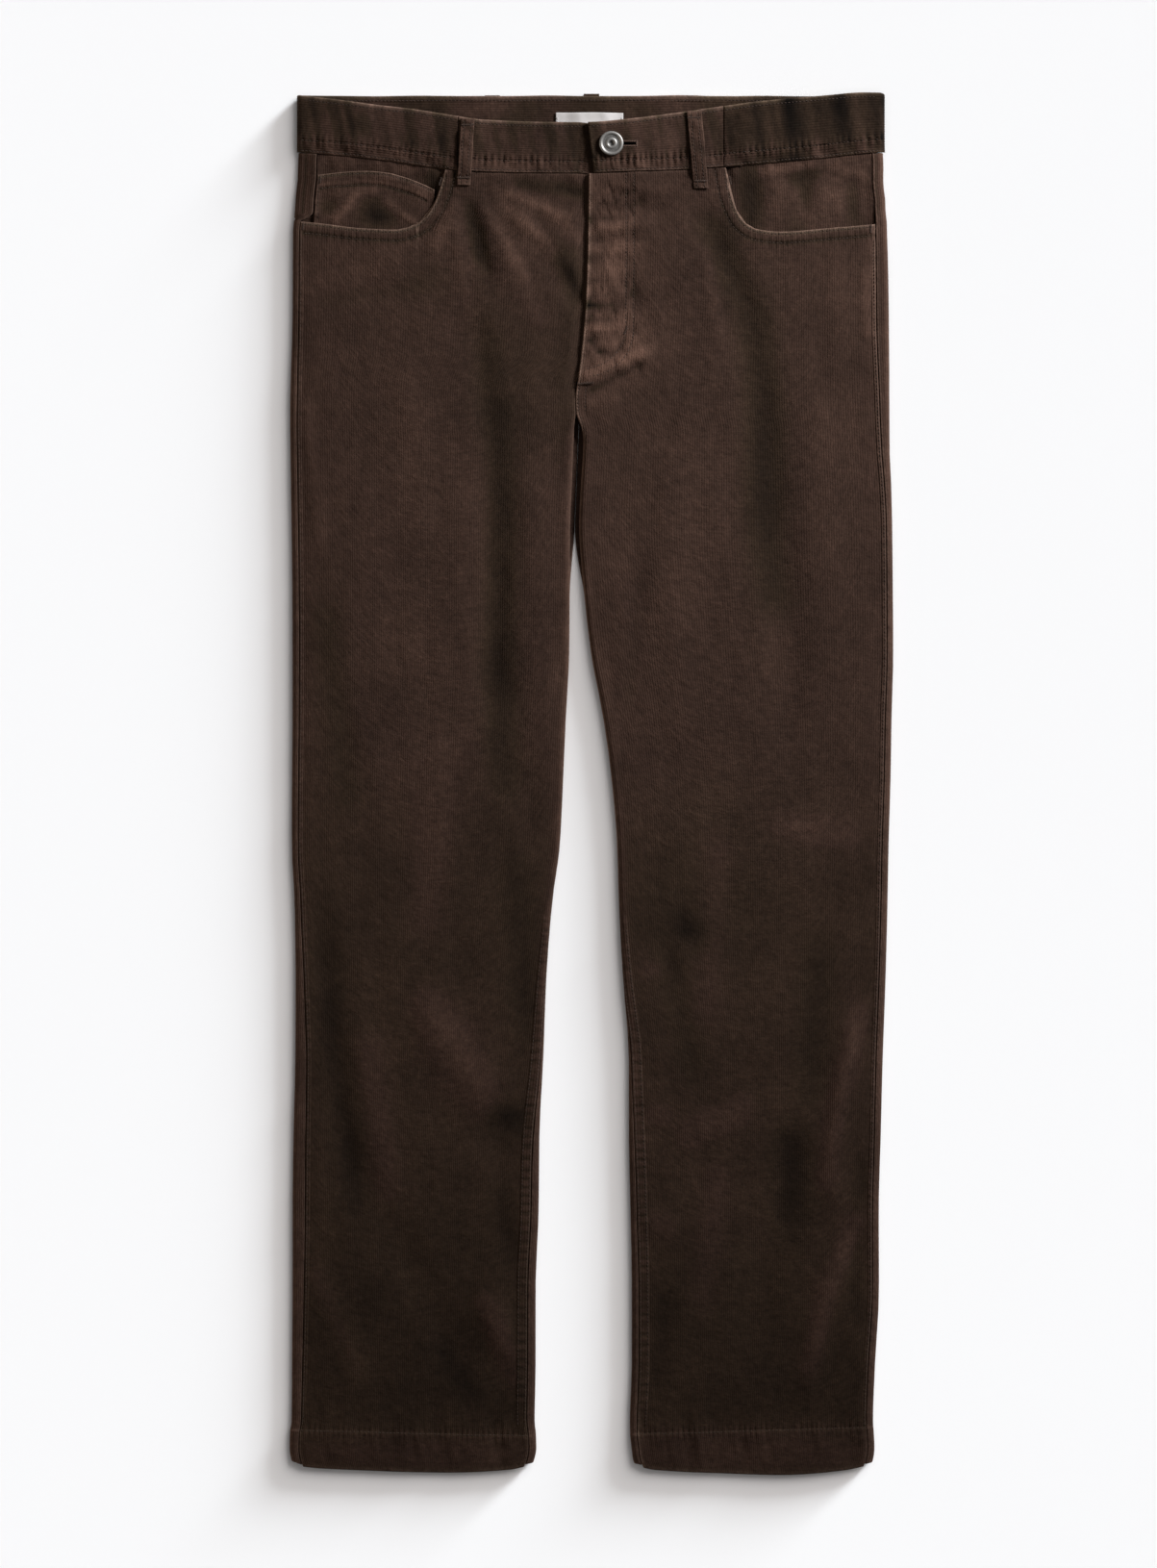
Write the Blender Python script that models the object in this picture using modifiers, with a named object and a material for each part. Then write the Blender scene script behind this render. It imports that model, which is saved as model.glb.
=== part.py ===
"""Corduroy trousers with front pockets, a buttoned fly and belt loops, laid flat on their back.

Run with blender --background --python part.py, or from Blender's text editor.
The front panels lie on the back panels. +X is the wearer's left, +Y points to the waist and
+Z up. The floor is z = 0 and the origin is under the middle of the garment. Sizes are in
millimetres until place() turns them into metres. A side is LEFT or RIGHT, as worn.
"""

import math

import bmesh
import bpy
import numpy as np

MM = 0.001
LEFT, RIGHT = 1, -1
SIDE_NAMES = {LEFT: "left", RIGHT: "right"}

# Walls of cloth, and the air left between two pieces that meet.
CLOTH = 2.0
POCKET_CLOTH = 1.4
LOOP_CLOTH = 1.3
BAND_CLOTH = 3.0
HEM_CLOTH = 2.4
LABEL_CLOTH = 0.8
GAP = 0.3
# The cut ends of the walls lean together where a seam lies on a folded edge.
INNER_SEAM_GAP = 1.0

# Heights of the top face over the floor.
BODY_TOP = 7.9
SIDE_TOP = 7.5
POCKET_EDGE_TOP = 6.2
FACING_TOP = 3.7
LEFT_FACING_TOP = 5.0
BAND_TOP = 9.4
BAND_FLAP_TOP = 12.7
FLY_TOP = 9.0
FLY_DIP_TOP = 5.0
HEM_TOP = 8.4
HEM_LIP_TOP = 7.4
LOOP_RISE = LOOP_CLOTH + 0.35
COIN_LIFT = POCKET_CLOTH + 0.4
LABEL_LIFT = LABEL_CLOTH + 0.4

# Lengths over which one level of the top face blends into the next.
FLY_RISE = 45.0
FLY_FALL_START = 14.0
FLY_FALL = 28.0
FLY_WIDTH = 40.0
FLY_DIP_WIDTH = 24.0
FLY_DIP_FLAT = 2.0
FLAP_BLEND = 42.0
BAND_SHELF = 3.0
BAND_BLEND = 26.0
SIDE_BLEND = 12.0
HEM_BLEND = 32.0
MOUTH_SHELF = 4.0
MOUTH_BLEND = 16.0

# Lengths along the garment.
BACK_WAIST_SEAM = 496.2
BACK_BAND_TOP = 541.0
MOUTH_LEVEL = 400.0
FLY_FOOT = 304.0
FRONT_FORK = 286.0
CROTCH = 202.0
CROTCH_RISE = 56.0
HEM_ZONE = -480.0
FLY_LAP = 12.0
FLY_LAP_START = 316.0
FLY_LAP_BLEND = 22.0
FORK_SHARE_START = 5.0
FORK_BLEND = 24.0
CENTRE_BLEND = 8.0
POCKET_UNDERLAP = 12.0
COIN_UNDERLAP = 10.0
BAND_UNDERLAP = 4.0
HEM_STEP = 1.2
# Step from a front panel up to the waistband.
BAND_STEP = 0.9

# Round the side edges the cloth turns over in half an ellipse this wide.
ROLL = 4.4
# Length of cloth along which a panel's columns follow such an edge, and its share of them.
EDGE_CLOTH = 12.0
EDGE_SHARE = 0.1
# Shares of a back panel's columns that turn up over its outer and inner edges.
BACK_OUTER = 0.2
BACK_INNER = 0.2


def table(columns, *rows):
    """Named columns of numbers with a row for each section, lowest first."""
    numbers = np.array(sorted(rows), float)
    return dict(zip(columns.split(), numbers.T))


# Edges of both legs seen from above. Over the fork the inner columns meet at the centre seam.
OUTLINE = table(
    "y right_outer right_inner left_inner left_outer",
    (545, -232, -12, -12, 231),
    (483, -231, -12, -12, 230),
    (434, -235, -12, -12, 233),
    (366, -235.4, -12, -12, 234.3),
    (292, -237.3, -12.3, -12, 234.7),
    (284, -237.3, -12.9, -10, 234.7),
    (276, -237.3, -13.4, -7.4, 234.8),
    (267, -237.2, -13.9, -6.4, 234.9),
    (258, -237, -14.4, -6.8, 235),
    (242, -236.8, -15, -7.9, 235.8),
    (202, -236.2, -16.7, -9.8, 236.9),
    (152, -235.6, -17, -6.1, 237.4),
    (102, -235.4, -17.4, -0.4, 237.7),
    (52, -235.4, -20, 9.1, 236.4),
    (2, -235.8, -22.2, 15.9, 235.6),
    (-48, -236, -24.7, 20.1, 234.1),
    (-96, -233.8, -31, 21.6, 233.2),
    (-156, -233, -35.6, 25, 231.6),
    (-217, -233.2, -37.9, 29.4, 229.4),
    (-277, -234.7, -40.9, 29.5, 227.9),
    (-338, -235.4, -41.6, 30.7, 226.3),
    (-399, -235.4, -43.9, 31.8, 226.5),
    (-459, -235.8, -43.9, 31.8, 223.3),
    (-503, -236.2, -44.7, 30.3, 221.8),
    (-512, -237.5, -43.8, 30.4, 222.4),
    (-524, -237.7, -43.4, 31.6, 222.9),
    (-532, -236.6, -44.8, 32.6, 222),
    (-543, -232, -49.5, 37, 217.5),
)

# The side seam's distance in from those edges on the top face, and the run of cloth from an
# inner edge's tip up to the inside-leg seam.
SEAMS = table(
    "y right_outer right_inner left_inner left_outer",
    (545, 14.4, 0, 0, 8.5),
    (456, 14.4, 0, 0, 8.5),
    (443, 5.2, 0, 0, 9),
    (366, 5, 0, 0, 10),
    (300, 5.5, 0, 0, 8),
    (200, 5.5, 0, 0, 5),
    (-90, 5, 0, 0, 5.5),
    (-220, 9, 4.5, 4.5, 5.5),
    (-310, 10, 8.5, 7.5, 5.2),
    (-480, 8, 9, 8, 5.5),
    (-543, 7, 8, 8, 5.5),
)

# Top face of the legs: in the middle, and where it turns over the side edges.
LOFT = table(
    "y middle edge",
    (545, BODY_TOP, POCKET_EDGE_TOP),
    (456, BODY_TOP, POCKET_EDGE_TOP),
    (443, BODY_TOP, SIDE_TOP),
    (286, BODY_TOP, SIDE_TOP),
    (100, BODY_TOP, 7.4),
    (-100, 7.7, 7.2),
    (-300, 7.4, 7.0),
    (-543, 7.4, 7.2),
)

# Edge of the fly, which carries on down as the centre front seam.
FLY_EDGE = table(
    "y x",
    (545, -2.0),
    (479, -2.3),
    (427, -3.0),
    (381, -4.5),
    (343, -7.6),
    (313, -11.4),
    (304, -12.6),
    (286, -12.1),
)

CENTRE_BACK = table("y x", (545, 0), (400, -3), (300, -9), (202, -13.2))

# Waistband in front, seen from above.
BAND = table(
    "x top bottom",
    (-232, 541.3, 496.2),
    (-197, 537.2, 493.5),
    (-172, 533.8, 490.9),
    (-139, 530, 486.2),
    (-110, 525.4, 482.2),
    (-87, 522, 480.8),
    (-28, 519.9, 479.6),
    (-2, 519.8, 479.6),
    (25, 521.9, 480.6),
    (73, 528, 482.4),
    (99, 531.8, 484.2),
    (133, 536.3, 486.9),
    (184, 540.9, 491.7),
    (214, 543.2, 495),
    (231, 543, 496.2),
)
# Under the left end, the right end sits this much lower from this x on.
BAND_SAG = 0.8
BAND_SAG_START = -12.0
BAND_SEAM_RIGHT = -105.0
BAND_SEAM_LEFT = 104.0
BAND_UNDER_END = 24.0
BAND_FLAP_END = -3.0
BAND_FLAP_SLANT = 5.0

# Pocket mouths: edge of the front panel from the side seam up to the waistband.
MOUTHS = {
    RIGHT: table(
        "x y",
        (-240, 442.6),
        (-214, 440.2),
        (-182, 436.4),
        (-155, 435.2),
        (-141, 438.2),
        (-130, 446),
        (-123, 457.5),
        (-118.5, 470),
        (-115.4, 482),
        (-113, 492),
    ),
    LEFT: table(
        "x y",
        (104, 492),
        (106, 482.6),
        (108.2, 470),
        (112.8, 454),
        (119.5, 442),
        (131, 435.4),
        (150, 433.6),
        (184, 436.1),
        (224, 439.5),
        (240, 441),
    ),
}
# Where the cloth inside a mouth meets its upper end, and its own inner end.
MOUTH_END = {RIGHT: -120.0, LEFT: 112.0}
FACING_END = {RIGHT: -103.0, LEFT: 96.0}
COIN_END = -123.5
# The facings' lower edges follow the mouths up to this level.
FACING_FOOT = 460.0
COIN_FOOT = 452.0
COIN_EDGE = table(
    "x y",
    (-222, 477.5),
    (-198, 480.3),
    (-179, 481.4),
    (-163, 480.3),
    (-147, 476.4),
    (-134, 471.6),
    (-118, 464),
)

# Hem: the stitched line at its top, and its lower lip in front and behind.
HEMS = {
    RIGHT: table(
        "x line front_lip back_lip",
        (-238, -509.3, -534, -534),
        (-226, -509.6, -538.6, -537),
        (-190, -510.6, -541, -538.5),
        (-110, -512.8, -543.2, -539.5),
        (-66, -513.8, -541, -538),
        (-43, -514.3, -536, -535.5),
    ),
    LEFT: table(
        "x line front_lip back_lip",
        (30, -512.9, -536.5, -536),
        (50, -512.3, -541, -538),
        (100, -510.8, -543.6, -540),
        (150, -509.4, -545, -540.5),
        (198, -508, -541.5, -538),
        (223, -507.4, -536, -535.5),
    ),
}

# Soft folds of the front panels: ends on the top face, half width and height.
# A negative height is a trough.
FOLDS = {
    RIGHT: table(
        "x0 y0 x1 y1 width height",
        (-97, 462, -84, 398, 9, -1.5),
        (-90, 360, -80, 275, 12, -1.6),
        (-80, 275, -76, 60, 14, -1.8),
        (-62, 452, -14, 398, 9, 1.4),
        (-46, 430, -8, 372, 8, -1.5),
        (-92, 462, -62, 395, 10, 1.1),
        (-45, 240, -34, 20, 16, 1.2),
        (-214, -100, -196, -280, 13, -1.3),
        (-196, -280, -100, -455, 15, -1.4),
        (-136, -170, -86, -250, 18, 1.5),
        (-84, -395, -56, -458, 12, 1.5),
        (-104, -262, -62, -300, 15, -1.2),
    ),
    LEFT: table(
        "x0 y0 x1 y1 width height",
        (86, 452, 118, 380, 14, -1.2),
        (118, 380, 145, 220, 17, -1.8),
        (145, 220, 160, 30, 19, -1.8),
        (64, 250, 66, 40, 20, 1.4),
        (0, 445, 58, 452, 7, -0.9),
        (4, 436, 48, 440, 7, 1.4),
        (2, 340, 50, 366, 6, -0.9),
        (-2, 325, 56, 346, 8, 1.9),
        (26, 372, 64, 384, 9, -1.0),
        (203, -190, 190, -330, 9, 1.6),
        (196, -370, 170, -480, 12, 1.6),
        (164, -285, 126, -440, 16, -1.8),
        (40, -246, 64, -262, 7, 1.2),
        (42, -346, 72, -352, 7, 1.2),
    ),
}

# Puffs and dents of the cloth inside the pocket mouths: centre, half widths and height.
POCKET_PUFFS = {
    RIGHT: table("x y width depth height", (-170, 489, 34, 7, 1.4)),
    LEFT: table(
        "x y width depth height",
        (138, 462, 13, 24, -1.2),
        (176, 462, 15, 24, 0.2),
        (205, 458, 12, 22, -1.2),
    ),
}
COIN_PUFFS = table(
    "x y width depth height",
    (-166, 447, 16, 12, -0.3),
    (-192, 462, 12, 16, 0.8),
    (-142, 462, 10, 14, 0.5),
)

# Belt loops: middle of each end, width, and whether it is under the garment.
LOOPS = {
    "belt_loop_front_right": dict(top=(-97.3, 522.5), foot=(-100.5, 470), width=11),
    "belt_loop_front_left": dict(top=(80.8, 528.2), foot=(86.3, 467.5), width=12),
    "belt_loop_back_right": dict(top=(-78, 540.4), foot=(-78, 484), width=12),
    "belt_loop_back_centre": dict(top=(0, 540.4), foot=(0, 484), width=12),
    "belt_loop_back_left": dict(top=(78, 540.4), foot=(78, 484), width=12),
}
LOOP_ARCH = 1.4
LOOP_ROWS = [0, 0.06, 0.12, 0.18, 0.24, 0.32, 0.45, 0.6, 0.75, 0.9, 1]
# A front loop climbs onto the waistband between these distances below it.
LOOP_STEP_START = 8.0
LOOP_STEP_END = 4.0
# Over the loops under it the back stands up this far each way from a loop's middle.
LOOP_BUMP = 8.0
LOOP_BUMP_FOOT = 22.0
LOOP_LIFT_START = 462.0
LOOP_LIFT_END = 478.0

BUTTON_AT = (15.6, 502.7)
BUTTON_SIDES = 20
# Outside of the button's cap from its middle to its rim and under, over the waistband.
BUTTON_CAP = {
    "radius": [0, 1.6, 2.3, 3.4, 4.2, 7.0, 7.9, 9.0, 9.6, 9.2, 8.0],
    "height": [1.3, 1.3, 2.3, 2.6, 2.1, 2.1, 2.8, 2.6, 1.7, 0.5, 0],
}
SHANK_RADIUS = 1.5
SLOT_HALF_WIDTH = 2.0
SLOT_START = 14.1
SLOT_END = 33.0
SLOT_SIDES = 16
# Merge distance of the turned cap, in metres.
MERGE = 0.00001

LABEL_X = (-28, 25)
LABEL_Y = (506, 528.5)

COLOURS = {
    "corduroy": ((0.046, 0.030, 0.023), 0.95, 0.0),
    "label": ((0.62, 0.60, 0.61), 0.45, 0.0),
    "metal": ((0.55, 0.52, 0.50), 0.35, 0.95),
}


# ---------------------------------------------------------------- curves and faces


def slopes_at_rows(places, values):
    """Slopes for a smooth curve that never swings outside the values on each side."""
    steps = np.diff(places)
    rises = np.diff(values) / steps
    before, after = rises[:-1], rises[1:]
    same_way = before * after > 0
    before, after = np.where(same_way, before, 1), np.where(same_way, after, 1)
    weight_before, weight_after = 2 * steps[1:] + steps[:-1], steps[1:] + 2 * steps[:-1]
    mean = (weight_before + weight_after) / (weight_before / before + weight_after / after)
    return np.concatenate([rises[:1], np.where(same_way, mean, 0), rises[-1:]])


def along(tab, column, at):
    """Value of a table's column at a place in its first column, on a smooth curve."""
    places = tab[next(iter(tab))]
    values = tab[column]
    slopes = slopes_at_rows(places, values)
    at = np.clip(at, places[0], places[-1])
    row = np.clip(np.searchsorted(places, at) - 1, 0, len(places) - 2)
    step = places[row + 1] - places[row]
    t = (at - places[row]) / step
    from_start = (1 + 2 * t) * (1 - t) ** 2 * values[row] + t * (1 - t) ** 2 * step * slopes[row]
    from_end = t * t * (3 - 2 * t) * values[row + 1] - t * t * (1 - t) * step * slopes[row + 1]
    return from_start + from_end


def ease(t):
    """0 before 0, 1 after 1, and smooth between."""
    t = np.clip(t, 0, 1)
    return t * t * (3 - 2 * t)


def roll(distance):
    """0 at a folded edge, rising to 1 where the cloth lies level again."""
    return np.sqrt(np.clip(1 - (1 - np.clip(distance / ROLL, 0, 1)) ** 2, 0, 1))


def column(side, end):
    return f"{SIDE_NAMES[side]}_{end}"


def outer_edge(side, y):
    return along(OUTLINE, column(side, "outer"), y)


def inner_edge(side, y):
    """x where a front panel ends: at the fly above the fork, and at the leg's edge below it."""
    leg = along(OUTLINE, column(side, "inner"), y)
    fly = along(FLY_EDGE, "x", y)
    if side == RIGHT:
        fly = fly + FLY_LAP * ease((y - FLY_LAP_START) / FLY_LAP_BLEND)
    return leg + (fly - leg) * ease((y - FRONT_FORK) / CENTRE_BLEND)


def in_from_edge(seam, run):
    """Distance in from a folded edge, a run of cloth past a seam that lies seam in from it."""
    angle = np.arccos(np.clip(1 - seam / ROLL, 0, 1)) + run / ROLL
    curved = ROLL * (1 - np.cos(np.minimum(angle, math.pi / 2)))
    level = ROLL * np.maximum(angle - math.pi / 2, 0) + np.maximum(seam - ROLL, 0)
    return curved + level


def seam_inset(side, end, y):
    """How far in from an edge its seam lies, on the top face."""
    value = along(SEAMS, column(side, end), y)
    return value if end == "outer" else in_from_edge(0, value)


def fork_share(y):
    """0 where the fronts meet at the centre, and 1 below the fork."""
    return ease((FRONT_FORK + FORK_SHARE_START - y) / FORK_BLEND)


def fold_tip(side, y):
    """x of the tip of the fold along a leg's inner edge, and the run of cloth up from it."""
    run = (1 - fork_share(y)) * math.pi / 2 * ROLL
    return inner_edge(side, y) - side * in_from_edge(0, run), run


def hem_line(side, x):
    return along(HEMS[side], "line", x)


def puffs(tab, x, y):
    """Sum of round swellings and dents."""
    total = 0 * x
    for px, py, width, depth, height in zip(*tab.values()):
        total = total + height * np.exp(-(((x - px) / width) ** 2) - ((y - py) / depth) ** 2)
    return total


def folds(side, x, y):
    """Sum of the soft ridges and troughs of one leg's front panel."""
    total = 0 * x
    for x0, y0, x1, y1, width, height in zip(*FOLDS[side].values()):
        length = math.hypot(x1 - x0, y1 - y0)
        ux, uy = (x1 - x0) / length, (y1 - y0) / length
        run = (x - x0) * ux + (y - y0) * uy
        off = (x - x0) * uy - (y - y0) * ux
        fade = np.minimum(run + width, length + width - run) / (2 * width)
        total = total + height * np.exp(-((off / width) ** 2)) * ease(fade)
    return total


def loop_rise(x, y):
    """How far the back is lifted off the floor by the belt loops under it."""
    total = 0 * x
    for name, loop in LOOPS.items():
        if "back" in name:
            off = np.abs(x - loop["foot"][0])
            total = total + np.clip((LOOP_BUMP_FOOT - off) / (LOOP_BUMP_FOOT - LOOP_BUMP), 0, 1)
    up_the_back = (y - LOOP_LIFT_START) / (LOOP_LIFT_END - LOOP_LIFT_START)
    return LOOP_RISE * total * np.clip(up_the_back, 0, 1)


def band_top(side, x):
    """Top face of the waistband in front. The left end laps over the right end."""
    if side == RIGHT:
        return BAND_TOP + 0 * x
    past_lap = x - BAND_UNDER_END - BAND_UNDERLAP
    return BAND_FLAP_TOP - (BAND_FLAP_TOP - BAND_TOP) * ease(past_lap / FLAP_BLEND)


def band_bottom(side, x):
    """Lower edge of the waistband in front. The right end sits a little lower, under the left."""
    sag = BAND_SAG * ease((x - BAND_SAG_START) / SIDE_BLEND) if side == RIGHT else 0
    return along(BAND, "bottom", x) - sag


def front_top(side, x, y):
    """Top face of a front panel over the floor, where x and y are arrays."""
    top = along(LOFT, "middle", y) + folds(side, x, y)
    from_fly = (x - along(FLY_EDGE, "x", y)) * side
    if side == LEFT:
        lap = ease((y - FLY_FOOT) / FLY_RISE) * ease(1 - from_fly / FLY_WIDTH)
        top = top + (FLY_TOP - BODY_TOP) * lap
    else:
        dip = ease((y - FLY_FOOT + FLY_FALL_START) / FLY_FALL)
        dip = dip * ease(1 - (from_fly - FLY_DIP_FLAT) / FLY_DIP_WIDTH)
        top = top + (FLY_DIP_TOP - top) * dip
    to_band = ease(1 - (band_bottom(side, x) - BAND_SHELF - y) / BAND_BLEND)
    top = top + (band_top(side, x) - BAND_STEP - top) * to_band
    edge = along(LOFT, "edge", y)
    from_outer = np.abs(x - outer_edge(side, y))
    top = edge + (top - edge) * ease((from_outer - ROLL) / SIDE_BLEND)
    below_line = hem_line(side, x) - y
    hem = HEM_TOP - (HEM_TOP - HEM_LIP_TOP) * ease(below_line / HEM_BLEND)
    top = top + (hem - top) * ease((below_line + HEM_STEP / 2) / HEM_STEP)
    from_inner = (x - fold_tip(side, y)[0]) * side
    return top * (1 + roll(from_outer)) / 2 * (1 + roll(from_inner)) / 2


def grid_object(name, columns, rows, position, wall, colour, thin=None):
    """A grid laid out by position(u, v) in millimetres, made into a wall of cloth.

    u and v are arrays that run from 0 to 1, with a line of points at each of columns and rows.
    The wall grows inwards, against the face normals. thin(u, v), where given, is each point's
    share of the wall.
    """
    mesh_maker = bmesh.new()
    bmesh.ops.create_grid(
        mesh_maker, x_segments=len(columns) - 1, y_segments=len(rows) - 1, size=0.5
    )
    mesh = bpy.data.meshes.new(name)
    mesh_maker.to_mesh(mesh)
    mesh_maker.free()
    flat = np.empty(len(mesh.vertices) * 3)
    mesh.vertices.foreach_get("co", flat)
    at = flat.reshape(-1, 3) + 0.5
    u = np.interp(at[:, 0], np.linspace(0, 1, len(columns)), columns)
    v = np.interp(at[:, 1], np.linspace(0, 1, len(rows)), rows)
    placed = np.stack(position(u, v), axis=1) * MM
    mesh.vertices.foreach_set("co", placed.ravel())
    mesh.update()
    piece = add_object(name, mesh, colour)
    solidify = piece.modifiers.new("wall", "SOLIDIFY")
    solidify.thickness = wall * MM
    solidify.offset = -1
    solidify.use_even_offset = True
    solidify.use_quality_normals = True
    if thin is not None:
        group = piece.vertex_groups.new(name="share of wall")
        for index, share in enumerate(thin(u, v)):
            group.add([index], float(share), "REPLACE")
        solidify.vertex_group = group.name
        solidify.thickness_vertex_group = 0
    return piece


def material(slot):
    """A plain Principled finish for one of the materials."""
    if slot in bpy.data.materials:
        return bpy.data.materials[slot]
    made = bpy.data.materials.new(slot)
    made.use_nodes = True
    colour, roughness, metallic = COLOURS[slot]
    shader = made.node_tree.nodes["Principled BSDF"]
    shader.inputs["Base Color"].default_value = (*colour, 1)
    shader.inputs["Roughness"].default_value = roughness
    shader.inputs["Metallic"].default_value = metallic
    return made


def add_object(name, mesh, slot, collection="trousers"):
    """Links a mesh as one named piece, shaded smooth, under the trousers' empty."""
    mesh.materials.append(material(slot))
    mesh.shade_smooth()
    piece = bpy.data.objects.new(name, mesh)
    bpy.data.collections[collection].objects.link(piece)
    piece.parent = bpy.data.objects["laid_flat"]
    return piece


# ---------------------------------------------------------------- legs


HEM_ROWS = [-540, -524, -511.2, -510]
LEG_ROWS = [*range(-480, 130, 55)] + [146, 160, 174, 188, 202, 230, 258, 267, 276, 284]
FRONT_ROWS = np.array(
    HEM_ROWS
    + LEG_ROWS
    + [292, 304, 316, 328, 342, 360, 380, 400]
    + [416, 430, 441, 452, 464, 476, 490]
)
BACK_ROWS = np.array(HEM_ROWS + LEG_ROWS + [304, 342, 400, 430, 443, 449, 456, 462, 478, 490])

# Columns as shares of the way across, closest together at the folded edges and at the steep
# end of the pocket mouth.
FRONT_COLUMNS = np.array(
    [0, 0.003, 0.06, 0.17, 0.27, 0.36, 0.42, 0.46, 0.49, 0.515, 0.54, 0.575]
    + [0.65, 0.73, 0.81, 0.9, 0.943, 0.957, 0.973, 0.989, 0.9982, 1]
)
TURN_UP_OUTER = np.array([0, 0.015, 0.18, 0.34, 0.5, 0.66, 0.83, 1])
TURN_UP_INNER = np.array([0, 0.033, 0.15, 0.3, 0.47, 0.64, 0.82, 1])
# Distances from the centre back of a back panel's other columns, at the waist.
BACK_COLUMNS = np.array([185, 140, 100, 86, 70, 56, 22, 8])
SEAT_WIDTH = 7.0
# Rows and columns lean on each other's places, which settle in this many rounds.
FIT_ROUNDS = 4


def row_steps(rows):
    return (rows - rows[0]) / (rows[-1] - rows[0])


def row_place(rows, v):
    """Nominal y of a row, which fit_rows() then fits to the piece's own ends."""
    return rows[0] + v * (rows[-1] - rows[0])


def fit_rows(nominal, lip, line, upper, flex):
    """Fits nominal rows to a hem's lip and line below, and over flex to an upper edge."""
    first, step_low, step_high = HEM_ROWS[0], HEM_ROWS[2], HEM_ROWS[3]
    low, high = line - HEM_STEP / 2, line + HEM_STEP / 2
    in_hem = lip + (nominal - first) / (step_low - first) * (low - lip)
    over_hem = high + (nominal - step_high) / (HEM_ZONE - step_high) * (HEM_ZONE - high)
    above = flex + (nominal - flex) / (FRONT_ROWS[-1] - flex) * (upper - flex)
    placed = np.where(nominal <= step_low, in_hem, nominal)
    placed = np.where((nominal > step_low) & (nominal < HEM_ZONE), over_hem, placed)
    return np.where(nominal > flex, above, placed)


def hem_share(rows, v):
    """Share of the wall: whole in the hem, and one layer of cloth above it."""
    return np.where(row_place(rows, v) < (HEM_ROWS[2] + HEM_ROWS[3]) / 2, 1.0, CLOTH / HEM_CLOTH)


def front_upper_edge(side, x):
    """Where a front panel ends above: at the pocket mouth or at the waistband."""
    at_band = band_bottom(side, x) - GAP
    at_pocket = x < MOUTHS[RIGHT]["x"][-1] if side == RIGHT else x > MOUTHS[LEFT]["x"][0]
    return np.where(at_pocket, np.minimum(along(MOUTHS[side], "y", x), at_band), at_band)


def front_x(side, across, y):
    """x of a front panel's point, a share of the way across from its side seam inwards."""
    outer_run = EDGE_CLOTH * np.minimum(across / EDGE_SHARE, 1) + GAP / 2
    inner_run = EDGE_CLOTH * np.minimum((1 - across) / EDGE_SHARE, 1)
    outer = outer_edge(side, y) - side * in_from_edge(seam_inset(side, "outer", y), outer_run)
    gap = GAP + (INNER_SEAM_GAP - GAP) * fork_share(y)
    tip, run = fold_tip(side, y)
    run = run + along(SEAMS, column(side, "inner"), y)
    inner = tip + side * in_from_edge(0, run + inner_run + gap / 2)
    middle = np.clip((across - EDGE_SHARE) / (1 - 2 * EDGE_SHARE), 0, 1)
    return outer + (inner - outer) * middle


def front_panel(side):
    """Front of one leg, from its hem to its pocket mouth and the waistband."""

    def position(u, v):
        across = u if side == RIGHT else 1 - u
        nominal = row_place(FRONT_ROWS, v)
        y = nominal
        for _ in range(FIT_ROUNDS):
            x = front_x(side, across, y)
            lip = along(HEMS[side], "front_lip", x)
            upper = front_upper_edge(side, x)
            y = fit_rows(nominal, lip, hem_line(side, x), upper, MOUTH_LEVEL)
        return x, y, front_top(side, x, y)

    return grid_object(
        f"front_panel_{SIDE_NAMES[side]}",
        FRONT_COLUMNS if side == RIGHT else 1 - FRONT_COLUMNS[::-1],
        row_steps(FRONT_ROWS),
        position,
        HEM_CLOTH,
        "corduroy",
        lambda u, v: hem_share(FRONT_ROWS, v),
    )


def turned_up(side, end, y, share):
    """(x, z) of a back panel where it turns up over a folded edge.

    The share is 0 at the seam on the top face, and 1 where the panel lies on the floor.
    """
    edge = outer_edge(side, y) if end == "outer" else inner_edge(side, y)
    inwards = -side if end == "outer" else side
    seam = seam_inset(side, end, y)
    level = np.maximum(seam - ROLL, 0)
    start = np.arccos(np.clip(1 - seam / ROLL, 0, 1))
    first = (GAP if end == "outer" else INNER_SEAM_GAP) / 2
    run = first + share * (level + (start + math.pi / 2) * ROLL - first)
    angle = np.maximum(start - np.maximum(run - level, 0) / ROLL, -math.pi / 2)
    distance = np.where(run < level, seam - run, ROLL * (1 - np.cos(angle)))
    x = edge + inwards * distance
    under = front_top(side, edge, y) * (1 + np.sin(np.minimum(angle, 0)))
    return x, np.where(angle >= 0, front_top(side, x, y), under)


def lifted(x, y, z):
    """Height of the back over the belt loops. Only what lies near the floor is lifted."""
    return z + loop_rise(x, y) * ease(1 - z / BAND_CLOTH)


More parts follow.
